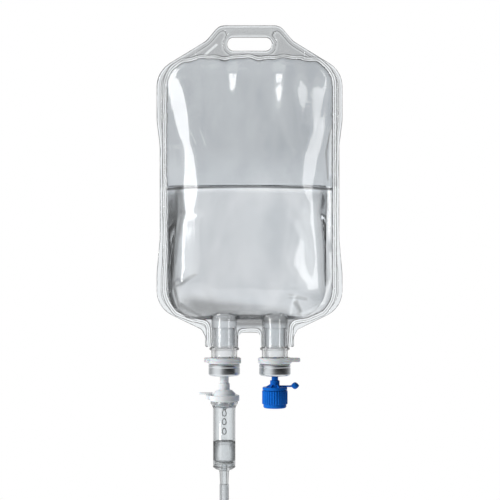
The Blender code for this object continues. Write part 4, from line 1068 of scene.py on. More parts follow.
@dataclass
class TubeLine:
    """The infusion tube: down through the clamp, a slow sweep, its coil, and up into the luer."""

    top: float = -0.2991
    sweep_top: float = -0.3751
    coil_centre: Point = (-PORT_X, 0.0127, -0.4391)
    coil_radius: float = 0.034
    sweep_height: float = 0.064
    inside_radius: float = 0.023
    end: Point = (-0.05095, -0.0021, -0.4461)
    bore: float = 0.003

    def route(self) -> list[Vector]:
        """The tube's centreline.

        Returns:
            Its points, from the drip chamber's spout to the luer connector's socket.
        """
        points = [Vector((-PORT_X, 0, self.top + (self.sweep_top - self.top) * share / 14))
                  for share in range(14)]
        turn = 2 * math.atan2(self.coil_radius, self.sweep_height)
        radius = self.sweep_height / (2 * math.sin(turn))
        steps = 8
        for step in range(steps):
            angle = turn * step / steps
            points.append(Vector((-PORT_X + radius * (1 - math.cos(angle)), 0,
                                  self.sweep_top - radius * math.sin(angle))))
        for step in range(steps):
            angle = turn * (1 - step / steps)
            points.append(Vector((-PORT_X + self.coil_radius - radius * (1 - math.cos(angle)), 0,
                                  self.coil_centre[2] + radius * math.sin(angle))))
        return points + self.coil()

    def coil(self) -> list[Vector]:
        """The coil's turns: three layers of two, then inside the coil to its front.

        Returns:
            Its points, clockwise seen from the front, from the right side.
        """
        inner, outer = (self.coil_radius + side * TUBE_DIAMETER / 2 for side in (-1, 1))
        front, middle, back = (self.coil_centre[1] + TUBE_DIAMETER * layer
                               for layer in (-1, 0, 1))
        stations = (
            (0, self.coil_radius, 0.0), (18, self.coil_radius + 0.0003, 0.0), (85, outer, front),
            (300, outer, front), (345, inner, front), (360 + 255, inner, front),
            (360 + 300, inner, middle), (720 + 210, inner, middle), (720 + 255, outer, middle),
            (1080 + 165, outer, middle), (1080 + 210, outer, back), (1440 + 100, outer, back),
            (1440 + 155, inner, back), (1800 + 30, inner, back),
            (1800 + 100, self.inside_radius, back),
            (1800 + 150, self.inside_radius, back - 0.0012), (2160 + 60, self.inside_radius, 0.0),
            (2160 + 84, self.inside_radius, self.end[1]),
            (2160 + 166, self.coil_radius, self.end[1]),
            (2160 + 182, self.coil_radius, self.end[1]))
        step = 14
        last = stations[-1][0] - step
        points = [self.on_turn(angle, *eased(stations, angle, 0.0))
                  for angle in range(0, last, step)]
        end = Vector(self.end)
        return points + [self.on_turn(last, self.coil_radius - 0.0004, self.end[1]), end,
                         end + Vector((0, 0, 0.0035))]

    def on_turn(self, angle: float, radius: float, depth: float) -> Vector:
        """A point of the coil.

        Args:
            angle: degrees round from the right side, clockwise seen from the front.
            radius: distance from the coil's axis.
            depth: place along Y.

        Returns:
            The point.
        """
        turn = math.radians(angle)
        return Vector((self.coil_centre[0] + radius * math.cos(turn), depth,
                       self.coil_centre[2] - radius * math.sin(turn)))

    def build(self, on_tube: Sequence[bpy.types.Object]) -> None:
        """Args:
            on_tube: the pieces that sit on it; it is not used.
        """
        route = self.smooth(self.route())
        length = sum((after - before).length for before, after in zip(route, route[1:]))
        tube = self.along("infusion_line", route, TUBE_DIAMETER / 2, TUBE,
                          ("infusion_tube", "tube_coil"), "tube_clear")
        core = self.along("tube_fluid", route, self.bore / 2, WATER, (), "water")
        log.info("the tube is %.3f m long", length)

    def along(self, name: str, route: Sequence[Vector], radius: float, finish: Finish,
              nodes: tuple[str, ...], slot: str) -> bpy.types.Object:
        """A round curve along the route.

        Args:
            name: the piece's name.
            route: its points.
            radius: the radius of its section.
            finish: what it is made of.
            nodes: the CAD nodes that it stands for.
            slot: the record's material slot.

        Returns:
            The curve's object.
        """
        curve = bpy.data.curves.new(name, "CURVE")
        curve.dimensions = "3D"
        curve.bevel_depth = radius
        curve.bevel_resolution = 5
        curve.use_fill_caps = True
        spline = curve.splines.new("POLY")
        spline.points.add(len(route) - 1)
        for point, place in zip(spline.points, route):
            point.co = (*place, 1)
        spline.use_smooth = True
        return Piece(name, finish, "giving_set", slot, nodes).wrap(curve)

    @staticmethod
    def smooth(points: Sequence[Vector], parts: int = 3) -> list[Vector]:
        """A Catmull-Rom curve through points.

        Args:
            points: the points that it passes.
            parts: how many pieces each stretch is cut into.

        Returns:
            The finer points.
        """
        finer = []
        for index in range(len(points) - 1):
            p0, p1 = points[max(index - 1, 0)], points[index]
            p2, p3 = points[index + 1], points[min(index + 2, len(points) - 1)]
            for part in range(parts):
                t = part / parts
                finer.append(0.5 * (2 * p1 + (p2 - p0) * t + (2 * p0 - 5 * p1 + 4 * p2 - p3) * t * t
                                    + (3 * p1 - p0 - 3 * p2 + p3) * t ** 3))
        finer.append(points[-1].copy())
        return finer


# ---------------------------------------------------------------- the bag


@dataclass
class Bag:
    """Two films welded at the border round the fluid, with tunnels over the ports.

    A line of fullness holds a share of the chamber's height, from its top, and the share of the
    half depth there. One of left_flank or right_flank holds a height, where the facet beside the
    weld starts and stops, and the slopes outside it and on it. One of folds holds a start x and z,
    an end x and z, half the width, and the height, which is less than 0 for a furrow.
    """

    width: float = 0.1244
    bottom: float = -0.1976
    side_weld: float = 0.007
    chamber_top: float = -0.0148
    chamber_bottom: float = -0.1906
    half_depth: float = 0.01825
    level: float = FLUID_LEVEL
    corner_height: float = 0.0175
    corner_draw: float = 0.02
    foot_height: float = 0.022
    foot_draw: float = 0.026
    tunnel_radius: float = 0.00854
    neck_top: float = -0.189
    sleeve_end: float = -0.2072
    middle_gap: float = 0.00015
    fluid_gap: float = 0.00012
    wet_rim: float = 0.0012
    clinging: float = 0.0042
    foot_rise: float = 0.007
    tunnel_fade: float = 0.0318
    pucker: float = 0.11
    pucker_reach: float = 0.014
    pucker_pitch: float = 0.024
    pucker_second: float = 0.0105
    fold_tail: float = 0.15
    fold_slack: float = 2.6
    weld_step: float = 0.0012
    fullness: Table = (
        (0.0, 0.0), (0.06, 0.25), (0.14, 0.44), (0.28, 0.6), (0.45, 0.72), (0.62, 0.88),
        (0.77, 1.0), (0.87, 0.93), (0.94, 0.66), (1.0, 0.0))
    left_flank: Table = (
        (-0.0148, 0.0042, 0.0046, 0.3, 0.18), (-0.0252, 0.0034, 0.005, 0.3, 0.22),
        (-0.0284, 0.0008, 0.0074, 0.45, 0.38), (-0.0351, 0.0006, 0.0106, 0.6, 0.38),
        (-0.0452, 0.0016, 0.0127, 0.75, 0.38), (-0.0552, 0.0046, 0.0143, 0.72, 0.38),
        (-0.0653, 0.0073, 0.0153, 0.66, 0.38), (-0.0726, 0.0113, 0.0157, 0.52, 0.38),
        (-0.082, 0.0117, 0.0187, 0.58, 0.37), (-0.0988, 0.0107, 0.0212, 0.74, 0.36),
        (-0.1088, 0.0107, 0.0207, 0.84, 0.36), (-0.117, 0.0127, 0.0184, 0.72, 0.3),
        (-0.124, 0.0104, 0.0212, 1.0, 0.262), (-0.14, 0.0094, 0.0232, 1.28, 0.258),
        (-0.156, 0.0092, 0.0232, 1.4, 0.254), (-0.163, 0.009, 0.0205, 1.5, 0.18),
        (-0.1825, 0.004, 0.009, 1.2, 0.45), (-0.1906, 0.004, 0.009, 1.2, 0.45))
    right_flank: Table = (
        (-0.0148, 0.0002, 0.003, 0.64, 0.66), (-0.027, 0.0002, 0.0026, 0.66, 0.66),
        (-0.0318, 0.0006, 0.0044, 0.8, 0.4), (-0.0418, 0.0012, 0.0072, 0.8, 0.38),
        (-0.0519, 0.0022, 0.0094, 0.7, 0.38), (-0.0619, 0.0042, 0.0124, 0.64, 0.37),
        (-0.072, 0.0066, 0.0162, 0.62, 0.36), (-0.082, 0.0096, 0.0196, 0.62, 0.35),
        (-0.0967, 0.0113, 0.0214, 0.68, 0.34), (-0.106, 0.0118, 0.0204, 0.78, 0.25),
        (-0.113, 0.0116, 0.0196, 0.84, 0.16), (-0.1504, 0.0092, 0.0182, 1.05, 0.16),
        (-0.1658, 0.008, 0.015, 1.15, 0.2), (-0.1825, 0.004, 0.009, 1.2, 0.45),
        (-0.1906, 0.004, 0.009, 1.2, 0.45))
    folds: dict[Sheet, Table] = field(default_factory=lambda: {
        Sheet.FRONT: (
            (-0.007, -0.014, -0.0084, -0.037, 0.0042, 0.0021),
            (0.0258, -0.015, 0.0242, -0.056, 0.0068, 0.0033),
            (-0.03, -0.062, -0.027, -0.073, 0.0012, 0.0003),
            (0.024, -0.065, 0.032, -0.08, 0.0014, 0.0003),
            (0.0503, -0.141, 0.0503, -0.0985, 0.0034, -0.0019),
            (0.0512, -0.172, 0.0512, -0.143, 0.0032, -0.0015),
            (-0.021, -0.185, -0.033, -0.165, 0.003, -0.001),
            (0.023, -0.185, 0.034, -0.166, 0.003, -0.001),
            (0.0, -0.189, 0.0, -0.17, 0.005, -0.001)),
        Sheet.BACK: (
            (0.011, -0.016, 0.008, -0.04, 0.004, 0.0018),
            (-0.023, -0.016, -0.02, -0.045, 0.0046, 0.0016),
            (0.002, -0.07, -0.006, -0.092, 0.003, 0.0006),
            (-0.02, -0.185, -0.032, -0.165, 0.003, -0.001),
            (0.024, -0.185, 0.034, -0.166, 0.003, -0.001)),
    })
    known: dict[tuple[float, float, Sheet], float] = field(default_factory=dict)

    @property
    def chamber_half(self) -> float:
        """Half the chamber's width between its side welds.

        Returns:
            The half width where no corner draws it in.
        """
        return self.width / 2 - self.side_weld

    def outline(self) -> list[Vector]:
        """The film's edge from the front.

        Returns:
            Its points, closed.
        """
        half = self.width / 2
        outer = PORT_X + self.tunnel_radius + 0.0042
        inner = PORT_X - self.tunnel_radius - 0.001
        right = [
            (0.0204, 0.0081, 0.008), (0.029, -0.0022, 0.012), (half, -0.0226, 0.018),
            (half, -0.056, 0.04), (half - 0.0021, -0.072, 0.04), (half - 0.0021, -0.135, 0.06),
            (half, -0.158, 0.06), (half, -0.181, 0.024),
            (outer + 0.0024, self.bottom + 0.002, 0.0035), (outer, self.bottom - 0.0028, 0.004),
            (outer, self.sleeve_end, 0.001), (inner, self.sleeve_end, 0.0005),
            (inner, self.bottom, 0.0035),
        ]
        return rounded(right + [(-across, up, radius) for across, up, radius in reversed(right)])

    def slot(self) -> list[Vector]:
        """The hanging slot's edge.

        Returns:
            Its points, closed.
        """
        radius = 0.00445
        return rounded([(0.015, 0, radius), (0.015, -2 * radius, radius),
                        (-0.015, -2 * radius, radius), (-0.015, 0, radius)])

    def chamber_edge(self) -> list[Vector]:
        """The inner edge of the welds.

        Returns:
            Its points, down the right side and up the left, fine enough to measure from.
        """
        count = 240
        low = self.chamber_bottom + self.foot_rise
        heights = [low + (self.chamber_top - low) * (1 - math.cos(math.pi * step / count)) / 2
                   for step in range(count + 1)]
        right = [Vector((self.half_width(z), z)) for z in heights]
        reach = self.half_width(self.chamber_top)
        top = [Vector((reach * (2 * step / 60 - 1), self.chamber_top)) for step in range(61)]
        foot = rounded(self.foot_path(), closed=False, step=6)
        fine = [start.lerp(stop, part / 12) for start, stop in zip(foot, foot[1:])
                for part in range(12)]
        both = right + fine
        return both + [Vector((-point.x, point.y)) for point in both] + top

    def foot_path(self) -> list[Corner]:
        """The weld line under the chamber's right half: round the corner and down the port.

        Returns:
            Its corners, from the side to the middle.
        """
        low = self.chamber_bottom + self.foot_rise
        return [(self.half_width(low), low, 0), (0.0385, -0.1875, 0.01), (0.0266, -0.1895, 0.006),
                (0.0256, self.sleeve_end - 0.002, 0), (0.0082, self.sleeve_end - 0.002, 0),
                (0.008, -0.195, 0.004), (0, -0.1943, 0)]

    def half_width(self, z: float) -> float:
        """Half the chamber's width at a height.

        Args:
            z: the height.

        Returns:
            The half width.
        """
        drawn = 0.0
        for from_end, height, draw in (
            (self.chamber_top - z, self.corner_height, self.corner_draw),
            (z - self.chamber_bottom, self.foot_height, self.foot_draw),
        ):
            missing = min(1.0, max(0.0, 1 - from_end / height))
            drawn += draw * (1 - math.sqrt(1 - missing * missing))
        return self.chamber_half - drawn

    def bulge(self, x: float, z: float, sheet: Sheet) -> float:
        """How far the content pushes a film out, with its puckers and folds.

        Args:
            x: the place across.
            z: the height.
            sheet: which film.

        Returns:
            The distance from the middle plane.
        """
        if not self.chamber_bottom < z < self.chamber_top:
            return 0.0
        edge = self.half_width(z)
        across = abs(x) / edge
        if across >= 1:
            return 0.0
        at = (self.chamber_top - z) / (self.chamber_top - self.chamber_bottom)
        crown = self.half_depth * eased(self.fullness, at, 0.5)[0]
        mirror = -1 if sheet is Sheet.BACK else 1
        flank = self.left_flank if x * mirror < 0 else self.right_flank
        depth = self.section(edge - abs(x), edge, crown, *eased(flank, z, 0.35))
        turn = 2 * math.pi * x
        wave = math.cos(turn / self.pucker_pitch)
        wave += 0.35 * math.sin(turn / self.pucker_second + 1.3)
        fade = math.exp(-(self.chamber_top - z) / self.pucker_reach)
        depth *= 1 + self.pucker * fade * wave
        from_end = min(self.chamber_top - z, z - self.chamber_bottom)
        rim = min(1.0, (1 - across) / 0.04, from_end / 0.004)
        depth += rim * sum(self.fold(x, z, *line) for line in self.folds[sheet])
        return max(0.0, depth)

    @staticmethod
    def section(inward: float, edge: float, crown: float, start: float, stop: float,
                steep: float, slope: float) -> float:
        """The film's depth across one half: a steep side, a facet, and a low crown.

        Args:
            inward: distance in from the weld.
            edge: half the chamber's width.
            crown: the depth at the middle.
            start: where the facet starts, from the weld.
            stop: where it ends.
            steep: the slope outside it.
            slope: the slope on it.

        Returns:
            The depth.
        """
        left_over = crown - steep * start - slope * (stop - start)
        rise = max(2 * left_over / (edge - stop), 0.05)

        def reach(at: float) -> float:
            """Depth before smoothing.

            Args:
                at: distance in from the weld.

            Returns:
                The depth.
            """
            at = min(max(at, 0.0), edge)
            depth = steep * min(at, start)
            depth += slope * (min(max(at, start), stop) - start)
            if at > stop:
                beyond = (at - stop) / (edge - stop)
                depth += rise * (edge - stop) * (beyond - beyond * beyond / 2)
            return depth

        soft = min(0.0007, inward / 2)
        smooth = sum(weight * reach(inward + soft * place)
                     for place, weight in zip((-2, -1, 0, 1, 2), (1, 2, 2, 2, 1))) / 8
        return smooth * crown / max(reach(edge), SLIVER)

    def fold(self, x: float, z: float, x0: float, z0: float, x1: float, z1: float,
             width: float, height: float) -> float:
        """The height of a fold that tapers towards both its ends.

        Args:
            x: the place across.
            z: the height.
            x0: the fold's start across.
            z0: the fold's start height.
            x1: the fold's end across.
            z1: the fold's end height.
            width: half its width.
            height: how far its crest stands out, or less than 0 for a furrow.

        Returns:
            The fold's height at the place.
        """
        along = Vector((x1 - x0, z1 - z0))
        reach = along.length
        along /= reach
        spot = Vector((x - x0, z - z0))
        share = spot.dot(along) / reach
        aside = (spot.y * along.x - spot.x * along.y) / width
        aside = aside / self.fold_slack if aside > 0 else -aside
        tail = self.fold_tail
        if aside > 3.2 or not -tail < share < 1 + tail:
            return 0.0
        taper = math.sin(math.pi * (share + tail) / (1 + 2 * tail)) ** 0.8
        return height * taper * math.exp(-aside * aside)

    def tunnel(self, x: float, z: float) -> float:
        """The tunnel that a port tube makes in one film.

        Args:
            x: the place across.
            z: the height.

        Returns:
            The distance from the middle plane.
        """
        aside = min(abs(x - PORT_X), abs(x + PORT_X)) / self.tunnel_radius
        if aside >= 1:
            return 0.0
        above = max(0.0, z - self.neck_top) / self.tunnel_fade
        return self.tunnel_radius * math.sqrt(1 - aside * aside) * max(0.0, 1 - above) ** 2

    def depth(self, x: float, z: float, sheet: Sheet) -> float:
        """Distance of a film's inner face from the middle plane.

        Args:
            x: the place across.
            z: the height.
            sheet: which film.

        Returns:
            The distance.
        """
        spot = (round(x, 7), round(z, 7), sheet)
        if spot not in self.known:
            self.known[spot] = self.middle_gap + max(self.bulge(x, z, sheet), self.tunnel(x, z))
        return self.known[spot]

    def columns(self) -> list[float]:
        """Places across of the sheets' grid: fine over the tunnels and towards the welds.

        Returns:
            The places, from left to right.
        """
        radius, half = self.tunnel_radius, self.chamber_half
        inner, outer = PORT_X - radius, PORT_X + radius
        places = [inner * step / 7 for step in range(7)]
        places += [PORT_X - radius * math.cos(math.pi * step / 22) for step in range(23)]
        places += [outer + (half - outer) * math.sin(math.pi / 2 * step / 26)
                   for step in range(1, 27)]
        places += [half + self.weld_step * step for step in range(1, 7)]
        places.append(self.width / 2 + 0.004)
        return [-place for place in reversed(places[1:])] + places

    def rows(self, top: float) -> list[float]:
        """Heights of the sheets' grid from a top down.

        Args:
            top: the highest row.

        Returns:
            The heights.
        """
        rows = [0.014, 0.006, 0.0015, -0.003, -0.0075, -0.0105, -0.013]
        height = self.chamber_top - self.chamber_bottom
        for step in range(121):
            share = step / 120
            share = 0.6 * share + 0.4 * (1 - math.cos(math.pi * share)) / 2
            rows.append(self.chamber_top - height * share)
        rows += [self.chamber_bottom - self.weld_step * step for step in range(1, 15)]
        return [top] + [row for row in rows + [-0.214] if row < top - 0.0004]

    def grid(self, sheet: Sheet, top: float, inset: float, closing: bool = False) -> Shape:
        """An open sheet on the grid.

        Args:
            sheet: which side it bulges to.
            top: its highest row.
            inset: how far it lies inside the film's inner face.
            closing: whether its sides and foot end on the middle plane.

        Returns:
            The sheet.
        """
        columns, rows = self.columns(), self.rows(top)
        work = bmesh.new()
        across, down = len(columns) - 1, len(rows) - 1
        bmesh.ops.create_grid(work, x_segments=across, y_segments=down, size=1)
        for vert in work.verts:
            column = round((vert.co.x + 1) / 2 * across)
            row = round((1 - vert.co.y) / 2 * down)
            x, z = columns[column], rows[row]
            depth = max(self.middle_gap / 3, self.depth(x, z, sheet) - inset)
            if closing and (column in (0, across) or row == down):
                depth = 0
            vert.co = (x, sheet.value * depth, z)
        bmesh.ops.recalc_face_normals(work, faces=work.faces)
        outward = sum((face.normal.y for face in work.faces), 0.0) * sheet.value
        if outward < 0:
            bmesh.ops.reverse_faces(work, faces=work.faces)
        return work

    def build(self) -> None:
        """Make both films and the fluid between them."""
        self.build_film(Sheet.FRONT)
        self.build_film(Sheet.BACK)
        self.build_fluid()

    def build_film(self, sheet: Sheet) -> None:
        """One film with its wall, cut to the outline and the slot.

        Args:
            sheet: which film.
        """
        work = self.grid(sheet, 0.014, 0.0)
        shell = self.grid(sheet, 0.014, -FILM_WALL)
        bmesh.ops.reverse_faces(work, faces=work.faces)
        absorb(work, shell)
        rims = [edge for edge in work.edges if edge.is_boundary]
        bmesh.ops.bridge_loops(work, edges=rims)
        bmesh.ops.recalc_face_normals(work, faces=work.faces)
        cut = slab(self.outline(), 0.08, UPRIGHT)
        hole = slab(self.slot(), 0.09, UPRIGHT)
        work = carved(work, ((cut, "INTERSECT"), (hole, "DIFFERENCE")))
        side = sheet.name.lower()
        made = Piece(f"{side}_sheet", FILM, "bag", "film_clear", (f"{side}_film",), 40).place(work)
        self.measure(made.data)

    def measure(self, mesh: bpy.types.Mesh) -> None:
        """Store each point's distance from the film's edge and from the welds' inner edge.

        The latter is above 0 inside the welds, and wavers along the top one.

        Args:
            mesh: the film's mesh.
        """
        def tree(points: Sequence[Vector]) -> KDTree:
            """A search tree over flat points.

            Args:
                points: the points.

            Returns:
                The tree.
            """
            made = KDTree(len(points))
            for index, point in enumerate(points):
                made.insert((point.x, 0, point.y), index)
            made.balance()
            return made

        edge_points = []
        for outline in (self.outline(), self.slot()):
            for start, stop in zip(outline, outline[1:] + outline[:1]):
                parts = max(1, math.ceil((stop - start).length / 0.0005))
                edge_points += [start.lerp(stop, part / parts) for part in range(parts)]
        edges, welds = tree(edge_points), tree(self.chamber_edge())
        foot = rounded(self.foot_path(), closed=False, step=6)
        edge = mesh.attributes.new("edge", "FLOAT", "POINT")
        weld = mesh.attributes.new("weld", "FLOAT", "POINT")
        for vert in mesh.vertices:
            x, z = vert.co.x, vert.co.z
            flat = (x, 0, z)
            inside = self.wet_side(abs(x), z, foot)
            near_top = math.exp(-(((z - self.chamber_top) / 0.006) ** 2))
            wave = 0.0008 * near_top * (math.cos(2 * math.pi * x / 0.026 + 0.7)
                                        + 0.5 * math.cos(2 * math.pi * x / 0.0112))
            edge.data[vert.index].value = edges.find(flat)[2]
            weld.data[vert.index].value = welds.find(flat)[2] * (1 if inside else -1) + wave

    def wet_side(self, x: float, z: float, foot: Sequence[Vector]) -> bool:
        """Whether a place lies inside the welds.

        Args:
            x: the place across, from the middle.
            z: the height.
            foot: the weld line under the chamber's right half.

        Returns:
            True inside.
        """
        if z >= foot[0].y:
            return z < self.chamber_top and x < self.half_width(z)
        crossed = 0
        for start, stop in zip(foot, foot[1:]):
            if (start.y > z) != (stop.y > z):
                at = start.x + (stop.x - start.x) * (z - start.y) / (stop.y - start.y)
                crossed += at > x
        return crossed % 2 == 1

    def build_fluid(self) -> None:
        """The fluid, with a raised rim where it wets the films, let down into both necks."""
        top = self.level + self.wet_rim
        work = self.grid(Sheet.FRONT, top, self.fluid_gap, closing=True)
        absorb(work, self.grid(Sheet.BACK, top, self.fluid_gap, closing=True), self.lid(top))
        bmesh.ops.remove_doubles(work, verts=work.verts, dist=0.000005)
        bmesh.ops.recalc_face_normals(work, faces=work.faces)
        left = self.chamber_half - 0.0008
        right = self.chamber_half - self.clinging
        low = self.neck_top + 0.0003
        prism = slab(rounded([(right, top + 0.02, 0), (right, low, self.corner_draw + 0.003),
                              (-left, low, self.corner_draw), (-left, top + 0.02, 0)]),
                     0.08, UPRIGHT)
        cutters = [(prism, "INTERSECT")]
        for x, pocket in ((-PORT_X, 0.00325), (PORT_X, 0.0025)):
            full, shelf = 0.0082, -0.1942
            wide, foot, roof = 0.00595, -0.2173, -0.2138
            cutters.append((spun([
                (0, low + 0.0029, 0), (full, low + 0.0029, 0), (full, shelf, 0.0004),
                (wide, shelf, 0), (wide, foot, 0),
                (pocket, foot, 0), (pocket, roof, 0), (0, roof, 0)], (x, 0, 0), 40), "UNION"))
        Piece("standing_fluid", WATER, "bag", "water", ("bag_fluid",), 60).place(
            carved(work, cutters))

    def lid(self, top: float) -> Shape:
        """The fluid's face, which climbs to the films in a narrow curve.

        Args:
            top: the height at which it meets the films.

        Returns:
            The face, whose edges lie on the top rows of the two sheets.
        """
        columns = self.columns()
        across, through = len(columns) - 1, 24
        work = bmesh.new()
        bmesh.ops.create_grid(work, x_segments=across, y_segments=through, size=1)
        for vert in work.verts:
            column = round((vert.co.x + 1) / 2 * across)
            x = columns[column]
            ends = 0 if column in (0, across) else 1
            front, back = (sheet.value * ends * max(
                self.middle_gap / 3, self.depth(x, top, sheet) - self.fluid_gap)
                for sheet in Sheet)
            share = (1 - math.cos(math.pi * (vert.co.y + 1) / 2)) / 2
            y = front + (back - front) * share
            from_wall = min(y - front, back - y)
            drop = self.wet_rim * (1 - math.exp(-from_wall / 0.001))
            vert.co = (x, y, top - drop)
        return work


# ---------------------------------------------------------------- ports


@dataclass
class Port:
    """One port: neck with a thin ring, milky collar with its tab, and a crimped metal cap."""

    side: Side
    tab_reach: float
    tab_width: float
    neck_top: float = -0.1944
    ring_top: float = -0.2075
    ring_bottom: float = -0.2093
    collar_top: float = -0.2143
    collar_bottom: float = -0.2183
    cap_top: float = -0.2186
    cap_bottom: float = -0.2264
    bore: float = 0.00625

    @property
    def at(self) -> Point:
        """Where the port's axis stands.

        Returns:
            A point of the axis.
        """
        return (self.side.value * PORT_X, 0, 0)

    @property
    def label(self) -> str:
        """The port's side, as its pieces' names have it.

        Returns:
            The side.
        """
        return self.side.name.lower()

    def build(self) -> None:
        """Make the neck, the collar and the cap."""
        self.build_neck()
        self.build_collar()
        self.build_cap()
        dress(RUBBER, f"{self.label}_port_stopper")

    def build_neck(self) -> None:
        """The clear tube between the films, its ring, and the lip that the cap grips."""
        work = spun([
            (0.00795, self.neck_top, 0.0006), (0.00795, self.ring_top + 0.0004, 0.0003),
            (0.0093, self.ring_top, 0.0003), (0.0099, self.ring_top - 0.0002, 0.0004),
            (0.0099, self.ring_bottom, 0.0006), (0.00875, self.ring_bottom, 0.0003),
            (0.00865, -0.212, 0.002), (0.00875, -0.2197, 0), (0.00945, -0.2197, 0.0002),
            (0.00945, -0.2221, 0.0002), (self.bore, -0.2221, 0.0003),
            (self.bore, self.neck_top, 0.0003)], self.at, 72)
        Piece(f"{self.label}_neck", NECK, "bag", "port_plastic",
              (f"{self.label}_port_tube",)).place(work)

    def build_collar(self) -> None:
        """The milky collar with a groove round it, and its flat tab to the side."""
        inner = 0.00905
        work = spun([
            (0.0104, self.collar_top, 0.0006), (0.0113, self.collar_top - 0.0006, 0.0007),
            (0.0113, -0.2158, 0.0002), (0.01105, -0.2161, 0.0002), (0.0113, -0.2164, 0.0002),
            (0.0113, self.collar_bottom, 0.0008), (inner, self.collar_bottom, 0.0003),
            (inner, self.collar_top, 0.0003)], self.at, 72)
        half = self.tab_width / 2
        turn = self.side.value
        tip = half * 0.9
        ear = rounded([(0.01, -half - 0.0012, 0), (0.0126, -half, 0.003),
                       (self.tab_reach, -half, tip), (self.tab_reach, half, tip),
                       (0.0126, half, 0.003), (0.01, half + 0.0012, 0)])
        ear = [Vector((point.x * turn + self.at[0], point.y)) for point in ear]
        plate = slab(ear, 0.0026, Matrix.Translation((0, 0, self.collar_top - 0.0016)), 0.0007, 3)
        work = carved(work, ((plate, "UNION"),))
        Piece(f"{self.label}_collar", MILKY, "bag", "port_plastic",
              (f"{self.label}_port_collar",), 30).place(work)

    def build_cap(self) -> None:
        """The drawn cap: a turned-in top rim, a shallow bead, a rolled foot and a hole."""
        outer = 0.01055
        work = spun([
            (0.00905, self.cap_top, 0.0001), (outer - 0.0005, self.cap_top, 0.0005),
            (outer, self.cap_top - 0.0007, 0.0005), (outer, -0.2204, 0.0003),
            (outer - 0.00028, -0.2209, 0.0004), (outer, -0.2214, 0.0003),
            (outer, self.cap_bottom + 0.0011, 0.0009), (outer - 0.001, self.cap_bottom, 0.0008),
            (0.0078, self.cap_bottom, 0.0004), (0.007, self.cap_bottom + 0.0004, 0.0003),
            (0.0064, self.cap_bottom + 0.0003, 0.00015),
            (0.0064, self.cap_bottom + 0.0008, 0.00015),
            (outer - 0.0008, self.cap_bottom + 0.0008, 0.0004),
            (outer - 0.0008, self.cap_top - 0.0008, 0.0003),
            (0.00905, self.cap_top - 0.0008, 0.0001)], self.at, 80)
        Piece(f"{self.label}_metal_cap", METAL, "bag", "crimp_aluminium",
              (f"{self.label}_crimp_cap",), 42).place(work)


# ---------------------------------------------------------------- giving set


@dataclass
class Spike:
    """The white spike in the left port: shaft, dome, flange with its vent, and the flap."""

    at: Point = (-PORT_X, 0, 0)
    flange_top: float = -0.2395
    flange_bottom: float = -0.2433

    def build(self) -> None:
        """Make the spike, its vent flap and the drop former."""
        work = spun([
            (0.0016, -0.2141, 0.0003), (0.00295, -0.2174, 0.0008), (0.00295, -0.2314, 0.0004),
            (0.00365, -0.2316, 0.0005), (0.00365, -0.2357, 0.0006), (0.0052, -0.2362, 0.001),
            (0.00725, -0.238, 0.002), (0.00725, self.flange_top, 0.0004),
            (0.0098, self.flange_top, 0.0005), (0.0101, self.flange_top - 0.0003, 0.0004),
            (0.0101, self.flange_bottom + 0.0004, 0.0004), (0.0098, self.flange_bottom, 0.0003),
            (0.00625, self.flange_bottom, 0.0002), (0.00625, -0.2463, 0.0004),
            (0.0013, -0.2463, 0.0002), (0.0013, -0.2141, 0.0001),
        ], self.at, 72)
        vent = (-PORT_X - 0.0098, 0, 0)
        boss = spun([(0, -0.2392, 0), (0.0026, -0.2392, 0.0005), (0.0026, -0.2423, 0.0002),
                     (0, -0.2423, 0)], vent, 40)
        well = spun([(0, -0.238, 0), (0.0017, -0.238, 0), (0.0017, -0.2422, 0),
                     (0, -0.2422, 0)], vent, 40)
        ribs = block_ring(self.at, (35, 90, 145, 215, 270, 325), (0.003, -0.0004, -0.2391),
                          (0.0092, 0.0004, -0.2352), 0.0002, "UNION", 0.0035)
        Piece("white_spike", WHITE, "giving_set", "spike_white", ("spike",), 36).place(
            carved(work, [(boss, "UNION"), (well, "DIFFERENCE"), *ribs]))
        self.build_flap()
        former = spun([
            (0.001, -0.2437, 0), (0.001, -0.2466, 0), (0.0022, -0.2466, 0.0002),
            (0.0022, -0.2474, 0.0003), (0.0013, -0.248, 0.0004), (0.0011, -0.2496, 0.0002),
            (0.0005, -0.2496, 0), (0.0005, -0.2437, 0)], self.at, 32)
        Piece("drop_tip", WHITE, "giving_set", "spike_white", ("drop_former",)).place(former)

    def build_flap(self) -> None:
        """The thin flap over the vent, with a grip lip and a plug that fills the well."""
        hinge = Vector((self.at[0] - 0.0084, 0, -0.23835))
        edge = rounded([(0.00055, -0.0029, 0.0006), (0.00055, 0.0029, 0.0006),
                        (-0.0047, 0.0029, 0.0022), (-0.0085, 0.0018, 0.0017),
                        (-0.0085, -0.0018, 0.0017), (-0.0047, -0.0029, 0.0022)])
        work = slab(edge, 0.0011, Matrix.Translation(hinge), 0.00035, 3)
        plug = spun([(0, -0.0002, 0), (0.0011, -0.0002, 0), (0.0011, -0.0012, 0.0003),
                     (0, -0.0012, 0)], (self.at[0] - 0.0098, 0, hinge.z), 24)
        lip = block((hinge.x - 0.0082, -0.0014, hinge.z - 0.0009),
                    (hinge.x - 0.0074, 0.0014, hinge.z), 0.0003, 2)
        work = carved(work, ((plug, "UNION"), (lip, "UNION")))
        Piece("vent_lid", WHITE, "vent", "spike_white", ("vent_flap",)).place(work)


